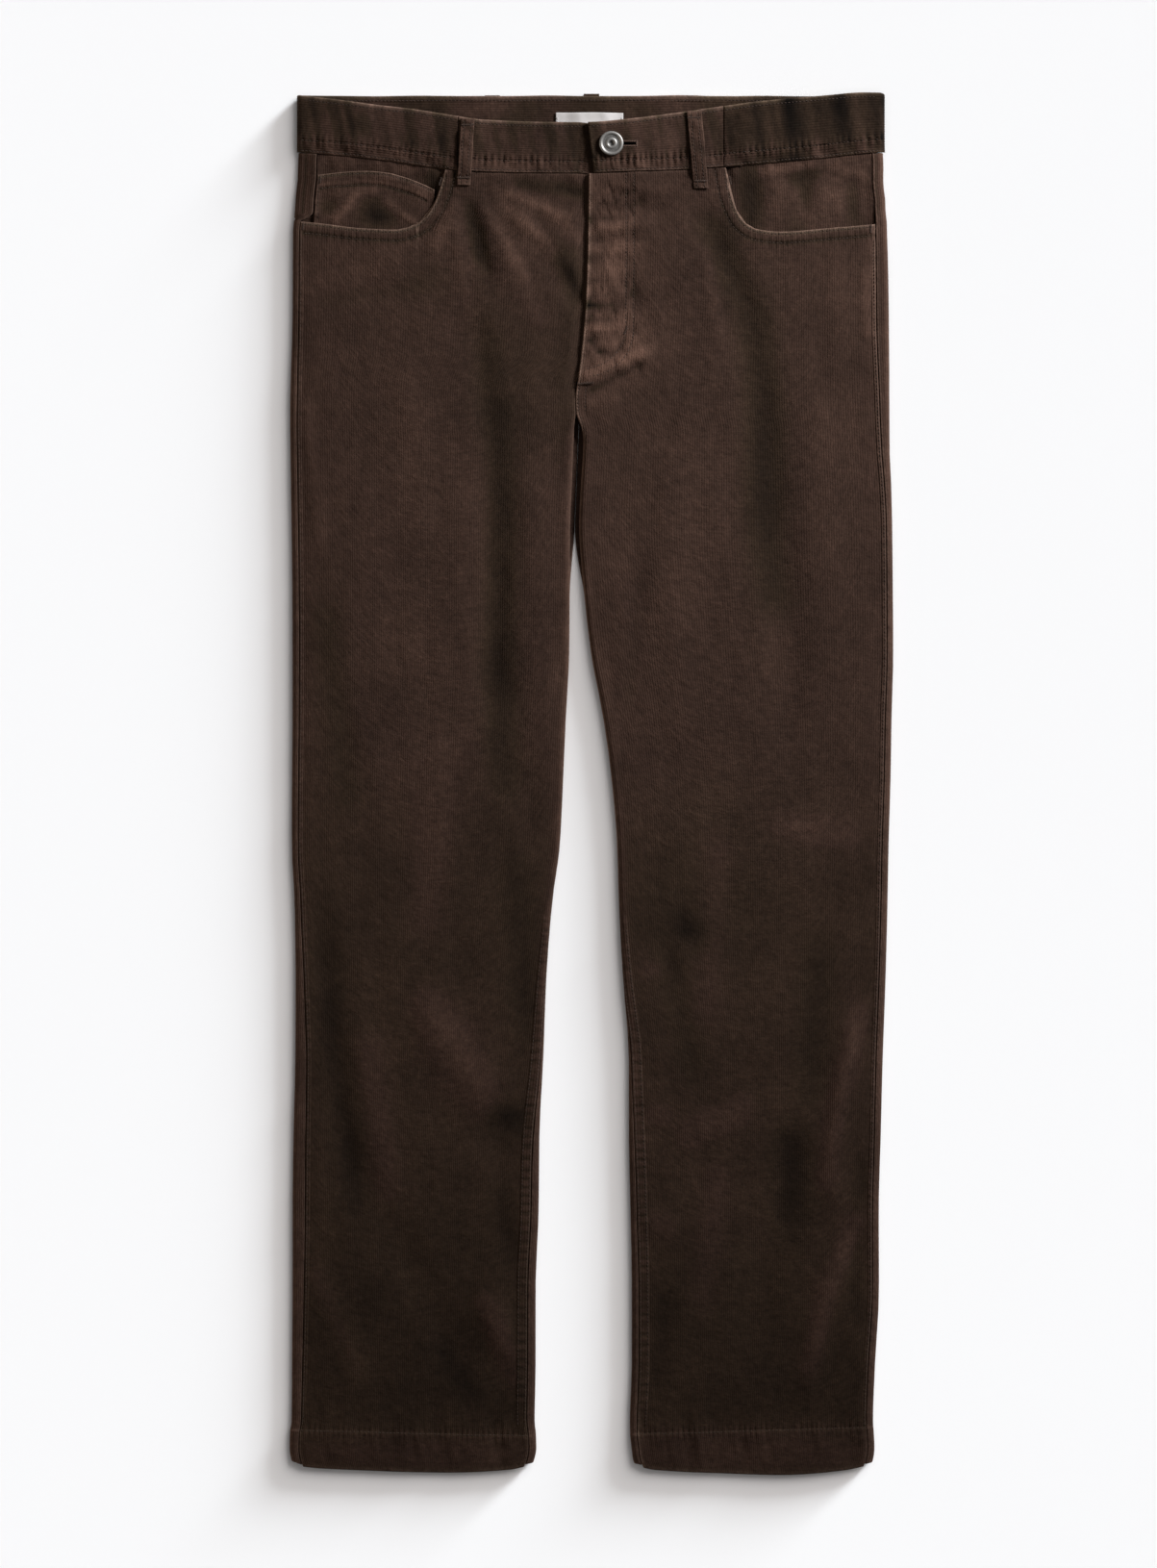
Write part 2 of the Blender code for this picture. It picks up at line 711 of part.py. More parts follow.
def back_panel(side):
    """Back of one leg, from its hem to the waistband, lying on the floor."""

    def position(u, v):
        across = u if side == LEFT else 1 - u
        nominal = row_place(BACK_ROWS, v)
        y = nominal
        for _ in range(FIT_ROUNDS):
            outer_x, outer_z = turned_up(side, "outer", y, np.clip(across / BACK_OUTER, 0, 1))
            inner_share = np.clip((1 - across) / BACK_INNER, 0, 1)
            leg_x, leg_z = turned_up(side, "inner", y, inner_share)
            seat_x = along(CENTRE_BACK, "x", y) + side * (GAP / 2 + SEAT_WIDTH * inner_share)
            in_leg = ease((CROTCH - y) / CROTCH_RISE)
            inner_x = seat_x + (leg_x - seat_x) * in_leg
            inner_z = leg_z * in_leg
            middle = np.clip((across - BACK_OUTER) / (1 - BACK_OUTER - BACK_INNER), 0, 1)
            x = outer_x + (inner_x - outer_x) * middle
            z = outer_z + (inner_z - outer_z) * middle
            lip = along(HEMS[side], "back_lip", x)
            over = ease(z / BAND_TOP * 2)
            upper = BACK_WAIST_SEAM + (along(BAND, "bottom", x) - BACK_WAIST_SEAM) * over
            y = fit_rows(nominal, lip, hem_line(side, x), upper - GAP, LOOP_LIFT_END)
        return x, y, lifted(x, y, z)

    waist = abs(outer_edge(side, BACK_WAIST_SEAM)) - ROLL
    flat = (waist - BACK_COLUMNS) / (waist - SEAT_WIDTH)
    across = np.concatenate(
        [
            BACK_OUTER * TURN_UP_OUTER,
            BACK_OUTER + (1 - BACK_OUTER - BACK_INNER) * flat,
            1 - BACK_INNER * TURN_UP_INNER[::-1],
        ]
    )
    return grid_object(
        f"back_panel_{SIDE_NAMES[side]}",
        across if side == LEFT else 1 - across[::-1],
        row_steps(BACK_ROWS),
        position,
        HEM_CLOTH,
        "corduroy",
        lambda u, v: hem_share(BACK_ROWS, v),
    )


# ---------------------------------------------------------------- waistband and belt loops


def band_front_piece(side):
    """Waistband from the centre front to the seam beside the pocket."""
    seam = BAND_SEAM_LEFT - GAP if side == LEFT else BAND_SEAM_RIGHT + GAP

    def position(u, v):
        if side == LEFT:
            end = BAND_FLAP_END + BAND_FLAP_SLANT * (1 - v)
            x = end + (seam - end) * u
        else:
            x = seam + (BAND_UNDER_END - seam) * u
        height = along(BAND, "top", x) - along(BAND, "bottom", x)
        return x, band_bottom(side, x) + height * v, band_top(side, x)

    return grid_object(
        f"waistband_front_{SIDE_NAMES[side]}",
        np.linspace(0, 1, 13),
        np.linspace(0, 1, 5),
        position,
        BAND_CLOTH,
        "corduroy",
    )


def band_back_path():
    """(x, z) round both side folds, seen from the waist.

    It starts at the left front seam, turns under at the left side and comes back up at the
    right side, so the outer face looks outwards.
    """
    radius = BAND_TOP / 2
    left, right = BAND["x"][-1] - radius, BAND["x"][0] + radius
    turn = np.linspace(math.pi / 2, -math.pi / 2, 9)
    bump = np.array([LOOP_BUMP_FOOT, LOOP_BUMP, -LOOP_BUMP, -LOOP_BUMP_FOOT])
    back_loops = sorted((loop["foot"][0] for name, loop in LOOPS.items() if "back" in name))
    bumps = np.concatenate([middle + bump for middle in reversed(back_loops)])
    front_left = np.linspace(BAND_SEAM_LEFT, left, 7)[:-1]
    under_left = np.linspace(left, bumps[0], 5)[1:-1]
    under_right = np.linspace(bumps[-1], right, 5)[1:-1]
    front_right = np.linspace(right, BAND_SEAM_RIGHT, 7)[1:]
    left_fold, right_fold = left + radius * np.cos(turn), right - radius * np.cos(turn[::-1])
    under = np.concatenate([under_left, bumps, under_right])
    x = np.concatenate([front_left, left_fold, under, right_fold, front_right])
    fold = radius + radius * np.sin(turn)
    above = np.full(len(front_left), BAND_TOP)
    z = np.concatenate([above, fold, 0 * under, fold[::-1], above])
    return x, z


def band_back_piece():
    """Waistband from one front seam round the back to the other."""
    path_x, path_z = band_back_path()
    steps = np.arange(len(path_x)) / (len(path_x) - 1)

    def position(u, v):
        x = np.interp(u, steps, path_x)
        z = np.interp(u, steps, path_z)
        to_back = 1 - z / BAND_TOP
        bottom = along(BAND, "bottom", x)
        bottom = bottom + (BACK_WAIST_SEAM - bottom) * to_back
        top = along(BAND, "top", x)
        top = top + (BACK_BAND_TOP - top) * to_back
        y = bottom + (top - bottom) * v
        return x, y, lifted(x, y, z)

    rows = np.linspace(0, 1, 4)
    return grid_object("waistband_back", steps, rows, position, BAND_CLOTH, "corduroy")


def belt_loop(name):
    """A strip of cloth across the waistband, standing off it a little in the middle."""
    loop = LOOPS[name]
    (top_x, top_y), (foot_x, foot_y) = loop["top"], loop["foot"]
    under = "back" in name
    side = LEFT if top_x > 0 else RIGHT

    def position(u, v):
        y = foot_y + (top_y - foot_y) * v
        x = foot_x + (top_x - foot_x) * v + loop["width"] * (u - 0.5)
        if under:
            return x, y, LOOP_CLOTH + 0 * y
        band_foot = along(BAND, "bottom", x)
        on_band = band_top(side, x)
        on_panel = front_top(side, x, np.minimum(y, band_foot - LOOP_STEP_END))
        lift = ease((y - band_foot + LOOP_STEP_START) / (LOOP_STEP_START - LOOP_STEP_END / 4))
        carried = on_panel + (on_band - on_panel) * lift
        arch = LOOP_ARCH * np.sin(math.pi * v) ** 2
        return x, y, carried + GAP + LOOP_CLOTH + arch

    columns = [0, 1] if under else [0, 0.5, 1]
    rows = [0, 1] if under else LOOP_ROWS
    return grid_object(name, columns, rows, position, LOOP_CLOTH, "corduroy")


# ---------------------------------------------------------------- pockets


def facing_top(side, x, y):
    """Top face of the cloth seen inside a pocket mouth."""
    level = FACING_TOP if side == RIGHT else LEFT_FACING_TOP
    from_end = np.abs(x - MOUTH_END[side])
    level = level + (FACING_TOP - level) * ease(1 - (from_end - MOUTH_SHELF) / MOUTH_BLEND)
    return level + puffs(POCKET_PUFFS[side], x, y) * ease((from_end - MOUTH_SHELF) / MOUTH_BLEND)


def pocket_facing(side):
    """Cloth behind a pocket mouth, sewn in with the side seam and under the waistband."""

    def position(u, v):
        across = u if side == RIGHT else 1 - u
        y = MOUTH_LEVEL + (BACK_WAIST_SEAM - MOUTH_LEVEL) * v
        for _ in range(FIT_ROUNDS):
            outer = outer_edge(side, y) - side * (seam_inset(side, "outer", y) + 2 * GAP)
            x = outer + (FACING_END[side] - outer) * across
            low = np.minimum(along(MOUTHS[side], "y", x), FACING_FOOT) - POCKET_UNDERLAP
            high = along(BAND, "bottom", x) + BAND_UNDERLAP
            y = low + (np.minimum(high, BACK_WAIST_SEAM - 2 * GAP) - low) * v
        return x, y, facing_top(side, x, y)

    name = f"pocket_facing_{SIDE_NAMES[side]}"
    columns, rows = np.linspace(0, 1, 13), np.linspace(0, 1, 8)
    return grid_object(name, columns, rows, position, POCKET_CLOTH, "corduroy")


def coin_pocket():
    """Small pocket patched onto the right facing, with a curved top edge."""

    def position(u, v):
        y = MOUTH_LEVEL + (BACK_WAIST_SEAM - MOUTH_LEVEL) * v
        for _ in range(FIT_ROUNDS):
            outer = outer_edge(RIGHT, y) + SEAMS["right_outer"][-1] + 3 * GAP
            x = outer + (COIN_END - outer) * u
            low = np.minimum(along(MOUTHS[RIGHT], "y", x), COIN_FOOT) - COIN_UNDERLAP
            y = low + (along(COIN_EDGE, "y", x) - low) * v
        free = ease((COIN_END - x) / SIDE_BLEND)
        return x, y, facing_top(RIGHT, x, y) + COIN_LIFT + puffs(COIN_PUFFS, x, y) * free

    columns, rows = np.linspace(0, 1, 11), np.linspace(0, 1, 7)
    return grid_object("coin_pocket", columns, rows, position, POCKET_CLOTH, "corduroy")


# ---------------------------------------------------------------- button, buttonhole and label


def button():
    """Shank button turned about its own axis: a dished cap on a thin shank."""
    cap = [(r, BAND_FLAP_TOP + GAP + z) for r, z in zip(*BUTTON_CAP.values())]
    foot = BAND_TOP + GAP
    shank = [(SHANK_RADIUS, BAND_FLAP_TOP + GAP), (SHANK_RADIUS, foot), (0, foot)]
    mesh = bpy.data.meshes.new("button")
    maker = bmesh.new()
    points = [maker.verts.new((r * MM, 0, z * MM)) for r, z in cap + shank]
    for first, second in zip(points, points[1:]):
        maker.edges.new((first, second))
    maker.to_mesh(mesh)
    maker.free()
    piece = add_object("button", mesh, "metal")
    piece.location = (BUTTON_AT[0] * MM, BUTTON_AT[1] * MM, 0)
    screw = piece.modifiers.new("turn", "SCREW")
    screw.steps = screw.render_steps = BUTTON_SIDES
    screw.use_merge_vertices = True
    screw.merge_threshold = MERGE
    return piece


def cut_buttonhole(band):
    """Cuts the slot that the button's shank stands in."""
    maker = bmesh.new()
    bmesh.ops.create_cone(
        maker,
        cap_ends=True,
        segments=SLOT_SIDES,
        radius1=SLOT_HALF_WIDTH * MM,
        radius2=SLOT_HALF_WIDTH * MM,
        depth=BAND_FLAP_TOP * MM,
    )
    for vertex in maker.verts:
        vertex.co.x += (SLOT_END if vertex.co.x > 0 else SLOT_START) * MM
        vertex.co.y += BUTTON_AT[1] * MM
        vertex.co.z += BAND_FLAP_TOP * MM
    mesh = bpy.data.meshes.new("buttonhole_cutter")
    maker.to_mesh(mesh)
    maker.free()
    cutter = add_object("buttonhole_cutter", mesh, "corduroy", "cutters")
    cutter.hide_render = True
    cutter.display_type = "WIRE"
    cut = band.modifiers.new("buttonhole", "BOOLEAN")
    cut.object = cutter
    cut.solver = "EXACT"


def label():
    """Blank woven label on the inside of the back waistband."""

    def position(u, v):
        x = LABEL_X[0] + (LABEL_X[1] - LABEL_X[0]) * u
        y = LABEL_Y[0] + (LABEL_Y[1] - LABEL_Y[0]) * v
        return x, y, BAND_CLOTH + loop_rise(x, y) + LABEL_LIFT

    bump = [LABEL_X[0], -LOOP_BUMP_FOOT, -LOOP_BUMP, LOOP_BUMP, LOOP_BUMP_FOOT, LABEL_X[1]]
    columns = (np.array(bump) - LABEL_X[0]) / (LABEL_X[1] - LABEL_X[0])
    return grid_object("waist_label", columns, [0, 1], position, LABEL_CLOTH, "label")


# ---------------------------------------------------------------- the whole garment


def clear_scene():
    for old in list(bpy.data.objects):
        bpy.data.objects.remove(old)
    for name in ("trousers", "cutters"):
        collection = bpy.data.collections.new(name)
        bpy.context.scene.collection.children.link(collection)
    bpy.data.collections["trousers"].objects.link(bpy.data.objects.new("laid_flat", None))


def main():
    clear_scene()
    for side in (RIGHT, LEFT):
        back_panel(side)
        front_panel(side)
        pocket_facing(side)
    coin_pocket()
    band_back_piece()
    band_front_piece(RIGHT)
    cut_buttonhole(band_front_piece(LEFT))
    for name in LOOPS:
        belt_loop(name)
    button()
    label()


main()
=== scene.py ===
"""Looks of a pair of corduroy trousers, laid flat on a pale floor.

Laid out as an add-on and run as a script. +X is the wearer's left, +Y points to the waist
and +Z up. Shapes are worked out in millimetres and turned into metres when a mesh is made.
A side is LEFT or RIGHT, as worn. u runs across a piece and v along it, both from 0 to 1.
"""

import math

import bmesh
import bpy
import numpy as np
from bpy.props import FloatProperty, FloatVectorProperty, PointerProperty
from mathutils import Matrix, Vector


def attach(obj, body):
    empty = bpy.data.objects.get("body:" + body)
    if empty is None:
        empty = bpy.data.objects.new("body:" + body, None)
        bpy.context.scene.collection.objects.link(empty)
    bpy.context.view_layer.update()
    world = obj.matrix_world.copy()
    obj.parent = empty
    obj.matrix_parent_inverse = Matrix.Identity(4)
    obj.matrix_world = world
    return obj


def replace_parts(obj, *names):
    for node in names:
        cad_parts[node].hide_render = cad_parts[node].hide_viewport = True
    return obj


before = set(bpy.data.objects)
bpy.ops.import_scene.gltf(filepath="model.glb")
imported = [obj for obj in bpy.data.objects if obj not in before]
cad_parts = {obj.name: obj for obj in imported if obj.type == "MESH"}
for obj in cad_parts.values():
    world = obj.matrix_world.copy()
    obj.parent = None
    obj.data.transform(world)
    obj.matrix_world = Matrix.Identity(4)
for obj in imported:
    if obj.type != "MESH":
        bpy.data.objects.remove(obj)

bl_info = {
    "name": "Corduroy trousers",
    "version": (1, 0, 0),
    "blender": (4, 5, 0),
    "location": "3D View > Sidebar > Trousers",
    "description": "Makes corduroy trousers, laid flat, around their solid parts",
    "category": "Object",
}

MM = 0.001
LEFT, RIGHT = 1, -1
SIDE_NAMES = {LEFT: "left", RIGHT: "right"}
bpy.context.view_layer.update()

# Walls of cloth, and the air left between two pieces that meet.
CLOTH = 2.0
POCKET_CLOTH = 1.4
LOOP_CLOTH = 1.3
BAND_CLOTH = 3.0
LABEL_CLOTH = 0.8
GAP = 0.3
INNER_SEAM_GAP = 0.4

# Heights of the top face over the floor.
BODY_TOP = 7.9
FACING_TOP = 3.7
LEFT_FACING_TOP = 5.0
BAND_TOP = 9.4
BAND_FLAP_TOP = 12.7
FLY_TOP = 9.0
FLY_DIP_TOP = 6.2
HEM_TOP = 8.4
HEM_LIP_TOP = 7.4
LOOP_RISE = LOOP_CLOTH + 0.35
COIN_LIFT = POCKET_CLOTH + 0.4
LABEL_LIFT = LABEL_CLOTH + 0.4

# Lengths over which one level of the top face blends into the next.
FLY_RISE = 45.0
FLY_FALL_START = 14.0
FLY_FALL = 28.0
FLY_WIDTH = 40.0
FLY_DIP_WIDTH = 9.0
FLY_DIP_FLAT = 2.0
FLY_TUCK = 3.0
FLAP_BLEND = 42.0
BAND_SHELF = 3.0
BAND_BLEND = 26.0
SIDE_BLEND = 12.0
HEM_BLEND = 32.0
MOUTH_SHELF = 4.0
MOUTH_BLEND = 16.0
FACING_AT_BAND = 6.0
FACING_AT_SEAM = 5.7
FACING_RISE = 20.0
UNDER_BAND_DROP = 1.6
POCKET_DIP = 2.0

# Lengths along the garment.
BACK_WAIST_SEAM = 496.2
BACK_BAND_TOP = 541.0
MOUTH_LEVEL = 400.0
FLY_FOOT = 304.0
FRONT_FORK = 286.0
CROTCH = 202.0
CROTCH_RISE = 56.0
HEM_ZONE = -480.0
FLY_LINE_X = 33.5
FLY_LINE_TOP = 480.0
FLY_LINE_FOOT = 356.0
FLY_BEND = 36.0
FLY_LAP = 12.0
FLY_LAP_START = 316.0
FLY_LAP_BLEND = 22.0
FORK_SHARE_START = 5.0
FORK_BLEND = 24.0
CENTRE_BLEND = 8.0
POCKET_UNDERLAP = 12.0
COIN_UNDERLAP = 10.0
BAND_UNDERLAP = 4.0
HEM_STEP = 1.2
BAND_STEP = 0.9
SEAT_WIDTH = 7.0

# Round the side edges the cloth turns over in half an ellipse this wide.
ROLL = 4.4
EDGE_CLOTH = 12.0

# Wales across each kind of piece, and how many points draw each one.
FRONT_WALES = 124
BACK_WALES = 146
BAND_WALES = 24
FACING_WALES = 68
COIN_WALES = 54
LOOP_WALES = 7
POINTS_A_WALE = 4
SEAM_WALE = 1.7
SEAM_ROW = 2.2
# How often a sheet's rows are fitted to its slanting borders, each time from the last fit.
PASSES = 4
# From one point to the next where a line of sewing is measured from.
LINE_STEP = 0.8
# Roundness of a rib, how unevenly deep its sides are, and how far a rounded border takes in
# each skin, as a share of the wall.
RIB_SHAPE = 0.6
RIB_WAVER = 0.15
BORDER_SQUEEZE = 0.46
# Half widths of the groove under a line of sewing, and of the rubbed pile along an edge.
GROOVE_WIDTH = 0.8
WORN_WIDTH = 2.1
# Inside a shell only every fourth wale or so keeps its column of points.
INSIDE_EVERY = 16
INSIDE_EDGE = 8


def table(columns, text):
    """Named columns of numbers. Rows of text end at a line or a semicolon, and are sorted."""
    rows = [row.split() for row in text.replace(";", "\n").splitlines() if row.strip()]
    numbers = np.array(sorted([float(number) for number in row] for row in rows))
    return dict(zip(columns.split(), numbers.T))


def pair(columns, right, left):
    """One such table for each side."""
    return {RIGHT: table(columns, right), LEFT: table(columns, left)}


# Edges of both legs seen from above. Over the fork the inner columns meet at the centre seam.
OUTLINE = table(
    "y right_outer right_inner left_inner left_outer",
    """
    545 -232 -12 -12 231; 483 -231 -12 -12 230; 434 -235 -12 -12 233; 366 -235.4 -12 -12 234.3
    292 -237.3 -12.3 -12 234.7; 284 -237.3 -12.9 -10 234.7; 276 -237.3 -13.4 -7.4 234.8
    267 -237.2 -13.9 -6.4 234.9; 258 -237 -14.4 -6.8 235; 242 -236.8 -15 -7.9 235.8
    202 -236.2 -16.7 -9.8 236.9; 152 -235.6 -17 -6.1 237.4; 102 -235.4 -17.4 -0.4 237.7
    52 -235.4 -20 9.1 236.4; 2 -235.8 -22.2 15.9 235.6; -48 -236 -24.7 20.1 234.1
    -96 -233.8 -31 21.6 233.2; -156 -233 -35.6 25 231.6; -217 -233.2 -37.9 29.4 229.4
    -277 -234.7 -40.9 29.5 227.9; -338 -235.4 -41.6 30.7 226.3; -399 -235.4 -43.9 31.8 226.5
    -459 -235.8 -43.9 31.8 223.3; -503 -236.2 -44.7 30.3 221.8; -512 -237.5 -43.8 30.4 222.4
    -524 -237.7 -43.4 31.6 222.9; -532 -236.6 -44.8 32.6 222; -543 -232 -49.5 37 217.5
    """,
)

# The side seam's distance in from those edges on the top face, and the run of cloth from an
# inner edge's tip up to the inside-leg seam.
SEAMS = table(
    "y right_outer right_inner left_inner left_outer",
    """
    545 14.4 0 0 8.5; 447 14.4 0 0 8.5; 441.5 5.2 0 0 9; 366 5 0 0 10; 300 5.5 0 0 8; 200 5.5 0 0 5
    -90 5 0 0 5.5; -220 9 4.5 4.5 5.5; -310 10 8.5 7.5 5.2; -480 8 9 8 5.5; -543 7 8 8 5.5
    """,
)

# Top face of the legs: in the middle, and where it turns over the side edges.
LOFT = table(
    "y middle edge",
    """
    545 7.9 6.2; 456 7.9 6.2; 443 7.9 7.5; 286 7.9 7.5; 100 7.9 7.4; -100 7.7 7.2; -300 7.4 7
    -543 7.4 7.2
    """,
)

# Edge of the fly, which carries on down as the centre front seam.
FLY_EDGE = table(
    "y x",
    "545 -2; 479 -2.3; 427 -3; 381 -4.5; 343 -7.6; 313 -11.4; 304 -12.6; 286 -12.1",
)

CENTRE_BACK = table("y x", "545 0; 400 -3; 300 -9; 202 -13.2")

# Waistband in front, seen from above.
BAND = table(
    "x top bottom",
    """
    -232 541.3 496.2; -197 537.2 493.5; -172 533.8 490.9; -139 530 486.2; -110 525.4 482.2
    -87 522 480.8; -28 519.9 479.6; -2 519.8 479.6; 25 521.9 480.6; 73 528 482.4; 99 531.8 484.2
    133 536.3 486.9; 184 540.9 491.7; 214 543.2 495; 231 543 496.2
    """,
)
BAND_SAG = 0.8
BAND_SAG_START = -12.0
BAND_SEAM_RIGHT = -105.0
BAND_SEAM_LEFT = 104.0
BAND_UNDER_END = 24.0
BAND_FLAP_END = -3.0
BAND_FLAP_SLANT = 5.0

# Pocket mouths: edge of the front panel from the side seam up to the waistband.
MOUTHS = pair(
    "x y",
    """
    -240 442.6; -214 440.2; -182 436.4; -155 435.2; -141 438.2; -130 446; -123 457.5; -118.5 470
    -115.4 482; -113 492
    """,
    """
    104 492; 106 482.6; 108.2 470; 112.8 454; 119.5 442; 131 435.4; 150 433.6; 184 436.1; 224 439.5
    240 441
    """,
)
# Two rows of sewing below a mouth's edge, and how far across they run.
MOUTH_ROWS = (1.9, 8.8)
MOUTH_SEWN = {RIGHT: (-226, -112.6), LEFT: (104.2, 224)}
MOUTH_END = {RIGHT: -120.0, LEFT: 112.0}
FACING_END = {RIGHT: -103.0, LEFT: 96.0}
COIN_END = -123.5
COIN_SEWN = (-215, -125)
FACING_FOOT = 460.0
COIN_FOOT = 452.0
COIN_EDGE = table(
    "x y",
    "-222 477.5; -198 480.3; -179 481.4; -163 480.3; -147 476.4; -134 471.6; -118 464",
)

# Hem: the stitched line at its top, and its lower lip in front and behind.
HEMS = pair(
    "x line front_lip back_lip",
    """
    -238 -509.3 -534 -534; -226 -509.6 -538.6 -537; -190 -510.6 -541 -538.5
    -110 -512.8 -543.2 -539.5; -66 -513.8 -541 -538; -43 -514.3 -536 -535.5
    """,
    """
    30 -512.9 -536.5 -536; 50 -512.3 -541 -538; 100 -510.8 -543.6 -540; 150 -509.4 -545 -540.5
    198 -508 -541.5 -538; 223 -507.4 -536 -535.5
    """,
)

HEM_SEWN = {RIGHT: (-235, -47), LEFT: (34, 220)}
# Doubled seams of the legs: where they start and end, width, rise and puckers.
INSEAM_FELL = (-509, -90, 8.4, 0.42, 0.32)
OUTSEAM_RIDGE = (-509, 431, 3.6, 0.34, 0.22)

# Soft folds of the front panels: ends on the top face, half width and height.
# A negative height is a trough.
FOLDS = pair(
    "x0 y0 x1 y1 width height",
    """
    -97 462 -84 398 9 -1.5; -90 360 -80 275 12 -1.6; -80 275 -76 60 14 -1.8; -62 452 -14 398 9 1.4
    -46 430 -8 372 8 -1.5; -92 462 -62 395 10 1.1; -45 240 -34 20 16 1.2
    -214 -100 -196 -280 13 -1.3; -196 -280 -100 -455 15 -1.4; -136 -170 -86 -250 18 1.5
    -84 -395 -56 -458 12 1.5; -104 -262 -62 -300 15 -1.2
    """,
    """
    86 452 118 380 14 -1.2; 118 380 145 220 17 -1.8; 145 220 160 30 19 -1.8; 64 250 66 40 20 1.4
    0 445 58 452 7 -0.9; 4 436 48 440 7 1.4; 2 340 50 366 6 -0.9; -8 318 48 339 7 1.9
    26 372 64 384 9 -1; 203 -190 190 -330 9 1.6; 196 -370 170 -480 12 1.6
    164 -285 126 -440 16 -1.8; 40 -246 64 -262 7 1.2; 42 -346 72 -352 7 1.2
    """,
)

# Smaller creases laid over those folds.
CREASES = pair(
    "x0 y0 x1 y1 width height",
    """
    -76 456 -30 424 4.5 0.5; -108 440 -100 380 6 0.5; -70 418 -40 360 6 0.5; -30 470 -8 462 4 -0.5
    -218 418 -150 412 6 0.4; -214 380 -130 392 9 -0.4; -226 300 -212 180 7 0.6
    -150 340 -140 200 14 0.6; -210 140 -190 -20 12 -0.5; -120 40 -130 -120 16 0.6
    -60 -60 -52 -200 11 -0.5; -176 -200 -160 -330 13 0.6; -74 -320 -60 -380 8 -0.7
    -220 -380 -180 -470 9 0.6; -120 -440 -90 -490 9 -0.5; -86 453 -50 393 5 0.9
    -68 465 -14 441 5 1; -104 456 -128 417 6 0.8; -95 453 -80 399 4 -0.4; -44 447 -8 381 5 -0.9
    -74 300 -68 194 11 -0.7; -68 194 -76 116 13 -0.5; -76 116 -66 -6 14 -0.7
    -134 -167 -80 -258 14 0.9; -78 -262 -46 -268 8 -0.9; -89 -402 -53 -481 8 1
    -213 -125 -200 -228 9 -0.4; -200 -228 -182 -348 9 -0.4
    """,
    """
    89 447 125 375 12 -0.7; 125 375 137 303 14 -0.8; 137 303 137 194 15 -0.8
    137 194 149 134 14 -0.7; 16 417 40 369 7 -0.7; 143 -29 209 -47 6 0.7; 64 -107 89 -125 9 -0.7
    215 -179 197 -228 6 0.9; 197 -228 182 -318 6 0.9; 158 -272 156 -352 12 -0.7
    215 -336 191 -384 6 0.9; 191 -384 167 -469 7 0.9; 36 -143 56 -146 6 0.8; 42 -261 62 -264 6 0.8
    45 -348 65 -350 6 0.8; 70 -282 125 -252 8 0.8; 4 470 40 458 4.5 -0.8; 30 462 70 470 4 0.5
    2 424 34 430 4 -0.9; 4 440 30 436 4 0.7; 4 396 30 404 5 0.9; 0 374 26 378 3.5 -0.9
    -6 356 10 359 3.2 1.1; 10 359 24 355 3.2 1; -2 350 5 339 3 -0.9; 5 339 18 337 3 -0.9
    18 337 27 349 3 -0.8; -4 364 26 367 3 -0.7; -2 308 40 329 3.5 -0.8; -6 298 22 302 4.5 0.7
    88 420 100 350 6 0.5; 190 420 200 330 10 0.5; 214 402 216 350 5 0.8; 180 300 186 160 13 0.5
    40 180 30 60 9 -0.5; 100 -40 90 -190 14 0.5; 180 -120 172 -250 12 -0.6; 60 -130 80 -230 10 -0.5
    100 -300 86 -420 12 0.5; 212 -300 206 -420 6 -0.6; 60 -400 50 -480 8 -0.5
    """,
)

# Shallow dents in the backs, which lie on the floor.
BACK_DENTS = pair(
    "x0 y0 x1 y1 width height",
    """
    -60 420 -150 300 16 0.9; -40 330 -120 210 14 1; -170 250 -160 40 15 0.9; -80 90 -90 -90 14 0.8
    -60 0 -190 -30 11 0.8; -190 -160 -120 -330 15 0.9; -90 -330 -110 -460 13 0.8
    """,
    """
    60 430 150 310 15 0.9; 30 320 130 200 14 1; 180 240 160 60 16 0.8; 80 70 90 -110 14 0.9
    60 -20 190 -40 11 0.8; 190 -180 120 -340 15 0.8; 80 -320 100 -470 13 0.9
    """,
)

# Patches where the pile is painted lighter or darker: middle, half widths and share. Some are the
# pile's own tone; others are painted shade in troughs and down the lower legs, and painted
# highlight on ridges and over the fly, which is partly worn there.
NAP_AND_PAINTED_LIGHT = pair(
    "x y width depth share",
    """
    -40 440 26 16 0.25; -66 424 8 24 0.2; -14 395 9 40 -0.22; -86 425 6 26 -0.22
    -82 330 12 44 -0.25; -71 130 11 130 -0.28; -118 436 10 18 0.2; -180 400 44 22 0.14
    -20 300 10 60 -0.15; -28 120 9 100 0.12; -140 180 34 120 0.08; -206 60 18 120 -0.08
    -106 -212 26 34 0.22; -62 -265 14 12 -0.25; -206 -180 12 60 -0.2; -190 -300 12 60 -0.2
    -72 -440 12 40 0.25; -140 -529 120 16 0.42; -140 -420 110 90 -0.12; -52 320 30 60 -0.16
    -128 398 22 18 -0.14
    """,
    """
    18 424 18 24 0.75; 14 470 14 9 0.35; 100 470 9 16 0.5; 28 392 9 18 -0.1; 15 342 27 24 0.85
    22 385 26 60 0.25; 4 320 14 8 0.4; 80 -90 56 70 -0.14; 44 160 40 130 0.2; 106 412 12 34 -0.18
    134 260 14 110 -0.22; 224 378 9 60 0.22; 223 395 4 44 0.5; 176 -38 30 9 0.2
    76 -116 13 12 -0.22; 206 -206 7 34 0.26; 190 -276 7 40 0.24; 158 -314 14 48 -0.18
    204 -360 9 26 0.22; 178 -430 8 38 0.22; 98 -267 28 9 0.18; 120 -527 120 16 0.42
    110 -430 90 90 -0.08
    """,
)
